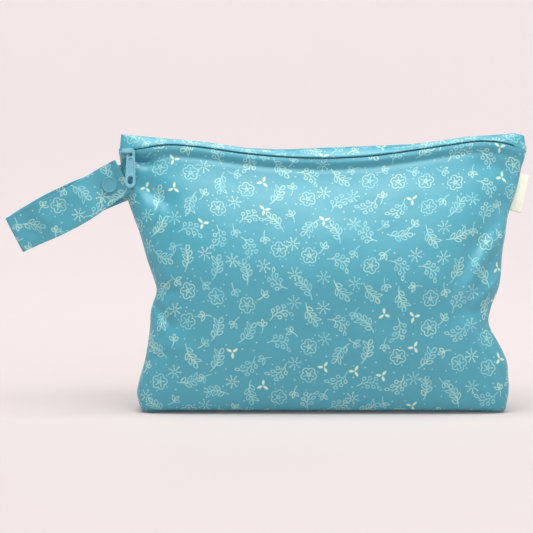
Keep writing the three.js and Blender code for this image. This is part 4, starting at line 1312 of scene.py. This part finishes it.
cloth, tree = new_material("polyester_knit_laminated")
cloth_map = add_node(tree, "UVMap", uv_map="cloth_mm")
printed = tree.nodes.new("ShaderNodeGroup")
printed.node_tree = meadow_print
tree.links.new(cloth_map.outputs[0], printed.inputs["Place"])
mottle = add_node(tree, "TexNoise", {"Vector": cloth_map, "Scale": 1 / MOTTLE_SIZE,
                                     "Detail": 4.0})
ground = add_node(tree, "Mix", mottle, {"A": linear("3893a7"), "B": linear("409db0")},
                  data_type="RGBA")
tone = add_node(tree, "TexNoise", {"Vector": cloth_map, "Scale": 1 / TONE_SIZE, "Detail": 1.0})
ink_share = add_node(tree, "MapRange", tone, {"From Min": .4, "From Max": .62})
ink = add_node(tree, "Mix", ink_share, {"A": linear("84c4c9"), "B": linear("aad3c4")},
               data_type="RGBA")
wear = add_node(tree, "TexNoise", {"Vector": cloth_map, "Scale": 1 / WEAR_SIZE, "Detail": 2.0})
cover = add_node(tree, "MapRange", wear, {"From Min": .3, "From Max": .7, "To Min": .72,
                                          "To Max": 1.0})
line_cover = add_node(tree, "Math.MULTIPLY", printed.outputs["Line"], cover)
lined = add_node(tree, "Mix", line_cover, {"A": ground.outputs[2], "B": ink.outputs[2]},
                 data_type="RGBA")
fill_cover = add_node(tree, "Math.MULTIPLY", printed.outputs["Filled"], cover)
coloured = add_node(tree, "Mix", fill_cover, {"A": lined.outputs[2], "B": linear("d9e6c2")},
                    data_type="RGBA")
ribs = add_node(tree, "VectorMath.MULTIPLY", cloth_map, (2 * math.pi / RIB_PITCH,) * 3)
waves = add_node(tree, "VectorMath.SINE", ribs)
wave_parts = add_node(tree, "SeparateXYZ", waves)
knit = add_node(tree, "Math.MULTIPLY", wave_parts.outputs[0], wave_parts.outputs[1])
crinkle = add_node(tree, "TexNoise", {"Vector": cloth_map, "Scale": 1 / CRINKLE_SIZE,
                                      "Detail": 3.0, "Roughness": .45})
crinkled = add_node(tree, "Bump", {"Height": crinkle, "Strength": .35,
                                   "Distance": CRINKLE_DEPTH * MM})
knitted = add_node(tree, "Bump", {"Height": knit, "Strength": .25, "Distance": KNIT_DEPTH * MM,
                                  "Normal": crinkled})
gloss = add_node(tree, "MapRange", mottle, {"To Min": .38, "To Max": .48})
shader = add_node(tree, "BsdfPrincipled", {
    "Base Color": coloured.outputs[2], "Roughness": gloss, "IOR": 1.5,
    "Specular IOR Level": .75,
    "Sheen Weight": .15, "Sheen Roughness": .4, "Sheen Tint": linear("eef6f6"),
    "Normal": knitted})
add_node(tree, "OutputMaterial", {"Surface": shader})
for piece in (front_cloth, back_cloth, strap):
    piece.data.materials.append(cloth)

# %% [markdown]
# The slider, pull and teeth are dyed acetal from a mould, smooth with a soft gloss; the snap
# is the same plastic with a duller, sparked surface.

# %% Plastics
FLOW_SIZE = 4


def moulded_plastic(name, hex_low, hex_high, rough_low, rough_high, grain_mm, grain_depth):
    """Dyed plastic from a mould: nearly even colour, soft gloss and a fine grain."""
    material, tree = new_material(name)
    spot = add_node(tree, "TexCoord")
    cloud = add_node(tree, "TexNoise", {"Vector": spot.outputs["Object"],
                                        "Scale": 1 / (FLOW_SIZE * MM), "Detail": 3.0})
    colour = add_node(tree, "Mix", cloud, {"A": linear(hex_low), "B": linear(hex_high)},
                      data_type="RGBA")
    grain = add_node(tree, "TexNoise", {"Vector": spot.outputs["Object"],
                                        "Scale": 1 / (grain_mm * MM), "Detail": 2.0})
    bump = add_node(tree, "Bump", {"Height": grain, "Strength": .3, "Distance": grain_depth * MM})
    rough = add_node(tree, "MapRange", cloud, {"To Min": rough_low, "To Max": rough_high})
    shader = add_node(tree, "BsdfPrincipled", {
        "Base Color": colour.outputs[2], "Roughness": rough, "IOR": 1.48,
        "Subsurface Weight": .08, "Subsurface Scale": .001, "Normal": bump})
    add_node(tree, "OutputMaterial", {"Surface": shader})
    return material


zip_plastic = moulded_plastic("acetal_moulded", "64a0b1", "6eaaba", rough_low=.3, rough_high=.4,
                              grain_mm=.8, grain_depth=.02)
snap_plastic = moulded_plastic("acetal_sparked", "4d97aa", "569fb1", rough_low=.42, rough_high=.55,
                               grain_mm=.5, grain_depth=.03)
for piece in (slider, pull, zip_teeth):
    piece.data.materials.append(zip_plastic)
for piece in snap_parts:
    piece.data.materials.append(snap_plastic)

# %% [markdown]
# Zip tape is woven polyester with a rib across it; the label is a plain cotton weave. Both
# are drawn as crossed threads, about twice as coarse as the real ones, with painted shade
# that darkens their colour where the threads dip.

# %% Woven tapes
DYE_SIZE = 5


def woven_tape(name, hex_low, hex_high, thread_mm, depth_mm, rough):
    """A plain weave: threads over and under each other, with uneven dye and painted shade where the
    threads dip.
    """
    material, tree = new_material(name)
    tape_map = add_node(tree, "UVMap", uv_map="cloth_mm")
    scaled = add_node(tree, "VectorMath.MULTIPLY", tape_map, (math.pi / thread_mm,) * 3)
    waves = add_node(tree, "VectorMath.SINE", scaled)
    parts = add_node(tree, "SeparateXYZ", waves)
    weave = add_node(tree, "Math.MULTIPLY", parts.outputs[0], parts.outputs[1])
    level = add_node(tree, "MapRange", weave, {"From Min": -1.0, "From Max": 1.0})
    cloud = add_node(tree, "TexNoise", {"Vector": tape_map, "Scale": 1 / DYE_SIZE, "Detail": 3.0})
    # painted shade: the colour darkens where the weave's threads dip, mixed with the uneven dye
    dip_shade_and_dye = add_node(tree, "Math.MULTIPLY", level, cloud)
    colour = add_node(tree, "Mix", dip_shade_and_dye, {"A": linear(hex_low), "B": linear(hex_high)},
                      data_type="RGBA")
    bump = add_node(tree, "Bump", {"Height": level, "Strength": .6, "Distance": depth_mm * MM})
    shader = add_node(tree, "BsdfPrincipled", {
        "Base Color": colour.outputs[2], "Roughness": rough, "Sheen Weight": .2,
        "Normal": bump})
    add_node(tree, "OutputMaterial", {"Surface": shader})
    return material


zip_tape = woven_tape("polyester_tape_woven", "2f7f98", "4a9ab0",
                      thread_mm=.7, depth_mm=.1, rough=.85)
cotton_tape = woven_tape("cotton_tape_woven", "eaeddb", "f6f7ec",
                         thread_mm=.8, depth_mm=.08, rough=.9)
for piece in (tape_lower, tape_upper):
    piece.data.materials.append(zip_tape)
label.data.materials.append(cotton_tape)

# %% [markdown]
# The studio is a round pale sweep, floor and wall in one, so that the bag stands before the
# same ground from every side. A large softbox overhead makes the upper half of the bag bright
# and leaves the lower to the floor's bounce. A fill stands in front, a weak one on the right,
# and one behind that only the back sees. Far from the softbox's foot its light fades with the
# square of the distance, so the paper gives off by itself what is missing there, a little
# less where it turns up and faces the lamp, and all of it comes out alike.

# %% Floor and light
FLOOR_RADIUS = 2700
SWEEP_RADIUS = 900
WALL_TOP = 1300
SWEEP_COLUMNS = 96
SWEEP_STEPS = 17
SOFTBOX_PLACE = (-60, -430, 1700)
PAPER_GLOW = 0.68
WALL_EXCESS = 0.07


def make_sweep():
    """The floor as rings round the bag, curved up into the wall."""
    path = [(1, 0), (FLOOR_RADIUS / 3, 0), (FLOOR_RADIUS, 0)]
    for turn in np.linspace(0, math.pi / 2, SWEEP_STEPS)[1:]:
        path.append((FLOOR_RADIUS + SWEEP_RADIUS * math.sin(turn),
                     SWEEP_RADIUS - SWEEP_RADIUS * math.cos(turn)))
    path.append((FLOOR_RADIUS + SWEEP_RADIUS, WALL_TOP))
    around = np.arange(SWEEP_COLUMNS) * 2 * math.pi / SWEEP_COLUMNS
    points = [(r * math.cos(a), r * math.sin(a), z) for r, z in path for a in around]
    faces = grid_faces(len(path), SWEEP_COLUMNS, closed=True)
    faces.append(tuple(range(SWEEP_COLUMNS)))
    return make_piece("studio_sweep", points, faces)


sweep = make_sweep()
paper, tree = new_material("backdrop_paper")
spot = add_node(tree, "TexCoord")
fibre = add_node(tree, "TexNoise", {"Vector": spot.outputs["Object"], "Scale": 3.0})
tint = add_node(tree, "Mix", fibre, {"A": linear("c7bfbf"), "B": linear("c9c1c1")},
                data_type="RGBA")
level = add_node(tree, "VectorMath.MULTIPLY", spot.outputs["Object"], (1, 1, 0))
softbox_foot = [v * MM for v in SOFTBOX_PLACE[:2]] + [0]
from_foot = add_node(tree, "VectorMath.DISTANCE", level, softbox_foot)
in_heights = add_node(tree, "Math.DIVIDE", from_foot.outputs["Value"], SOFTBOX_PLACE[2] * MM)
squared = add_node(tree, "Math.MULTIPLY_ADD", in_heights, in_heights, 1.0)
kept = add_node(tree, "Math.POWER", squared, -2.0)
missing = add_node(tree, "Math.MULTIPLY_ADD", kept, -PAPER_GLOW, PAPER_GLOW)
tilt = add_node(tree, "VectorMath.MULTIPLY", spot.outputs["Normal"], (1, 1, 0))
tilted = add_node(tree, "VectorMath.LENGTH", tilt)
own_light = add_node(tree, "Math.MULTIPLY_ADD", tilted.outputs["Value"], -WALL_EXCESS, missing)
shader = add_node(tree, "BsdfPrincipled", {
    "Base Color": tint.outputs[2], "Roughness": .95, "Specular IOR Level": .1,
    "Emission Color": linear("f3e9ea"), "Emission Strength": own_light})
add_node(tree, "OutputMaterial", {"Surface": shader})
sweep.data.materials.append(paper)


def add_light(name, place, aim, size, power, colour):
    """A square area light that looks at a point."""
    data = bpy.data.lights.new(name, "AREA")
    data.shape = "SQUARE"
    data.size = size * MM
    data.energy = power
    data.color = linear(colour)[:3]
    lamp = bpy.data.objects.new(name, data)
    lamp.location = Vector(place) * MM
    lamp.rotation_mode = "QUATERNION"
    lamp.rotation_quaternion = (Vector(aim) - Vector(place)).to_track_quat("-Z", "Y")
    bpy.context.scene.collection.objects.link(lamp)


# name, place, what it looks at, size, watts and colour
LAMPS = [("overhead_softbox", SOFTBOX_PLACE, (0, 0, 100), 1500, 43, "fffefa"),
         ("front_fill", (450, -2300, 1450), (0, 0, 100), 1500, 12, "f4f8ff"),
         ("side_fill", (1900, -700, 900), (100, 0, 100), 1000, 5, "fffdfa"),
         ("back_fill", (-500, 2300, 1700), (0, 0, 100), 1500, 4, "fffefa")]
for lamp in LAMPS:
    add_light(*lamp)

world = bpy.data.worlds.new("studio_air")
world.use_nodes = True
world.node_tree.nodes.clear()
background = add_node(world.node_tree, "Background", {"Color": linear("f6f2f2"),
                                                      "Strength": 0.15})
add_node(world.node_tree, "OutputWorld", {"Surface": background})
bpy.context.scene.world = world
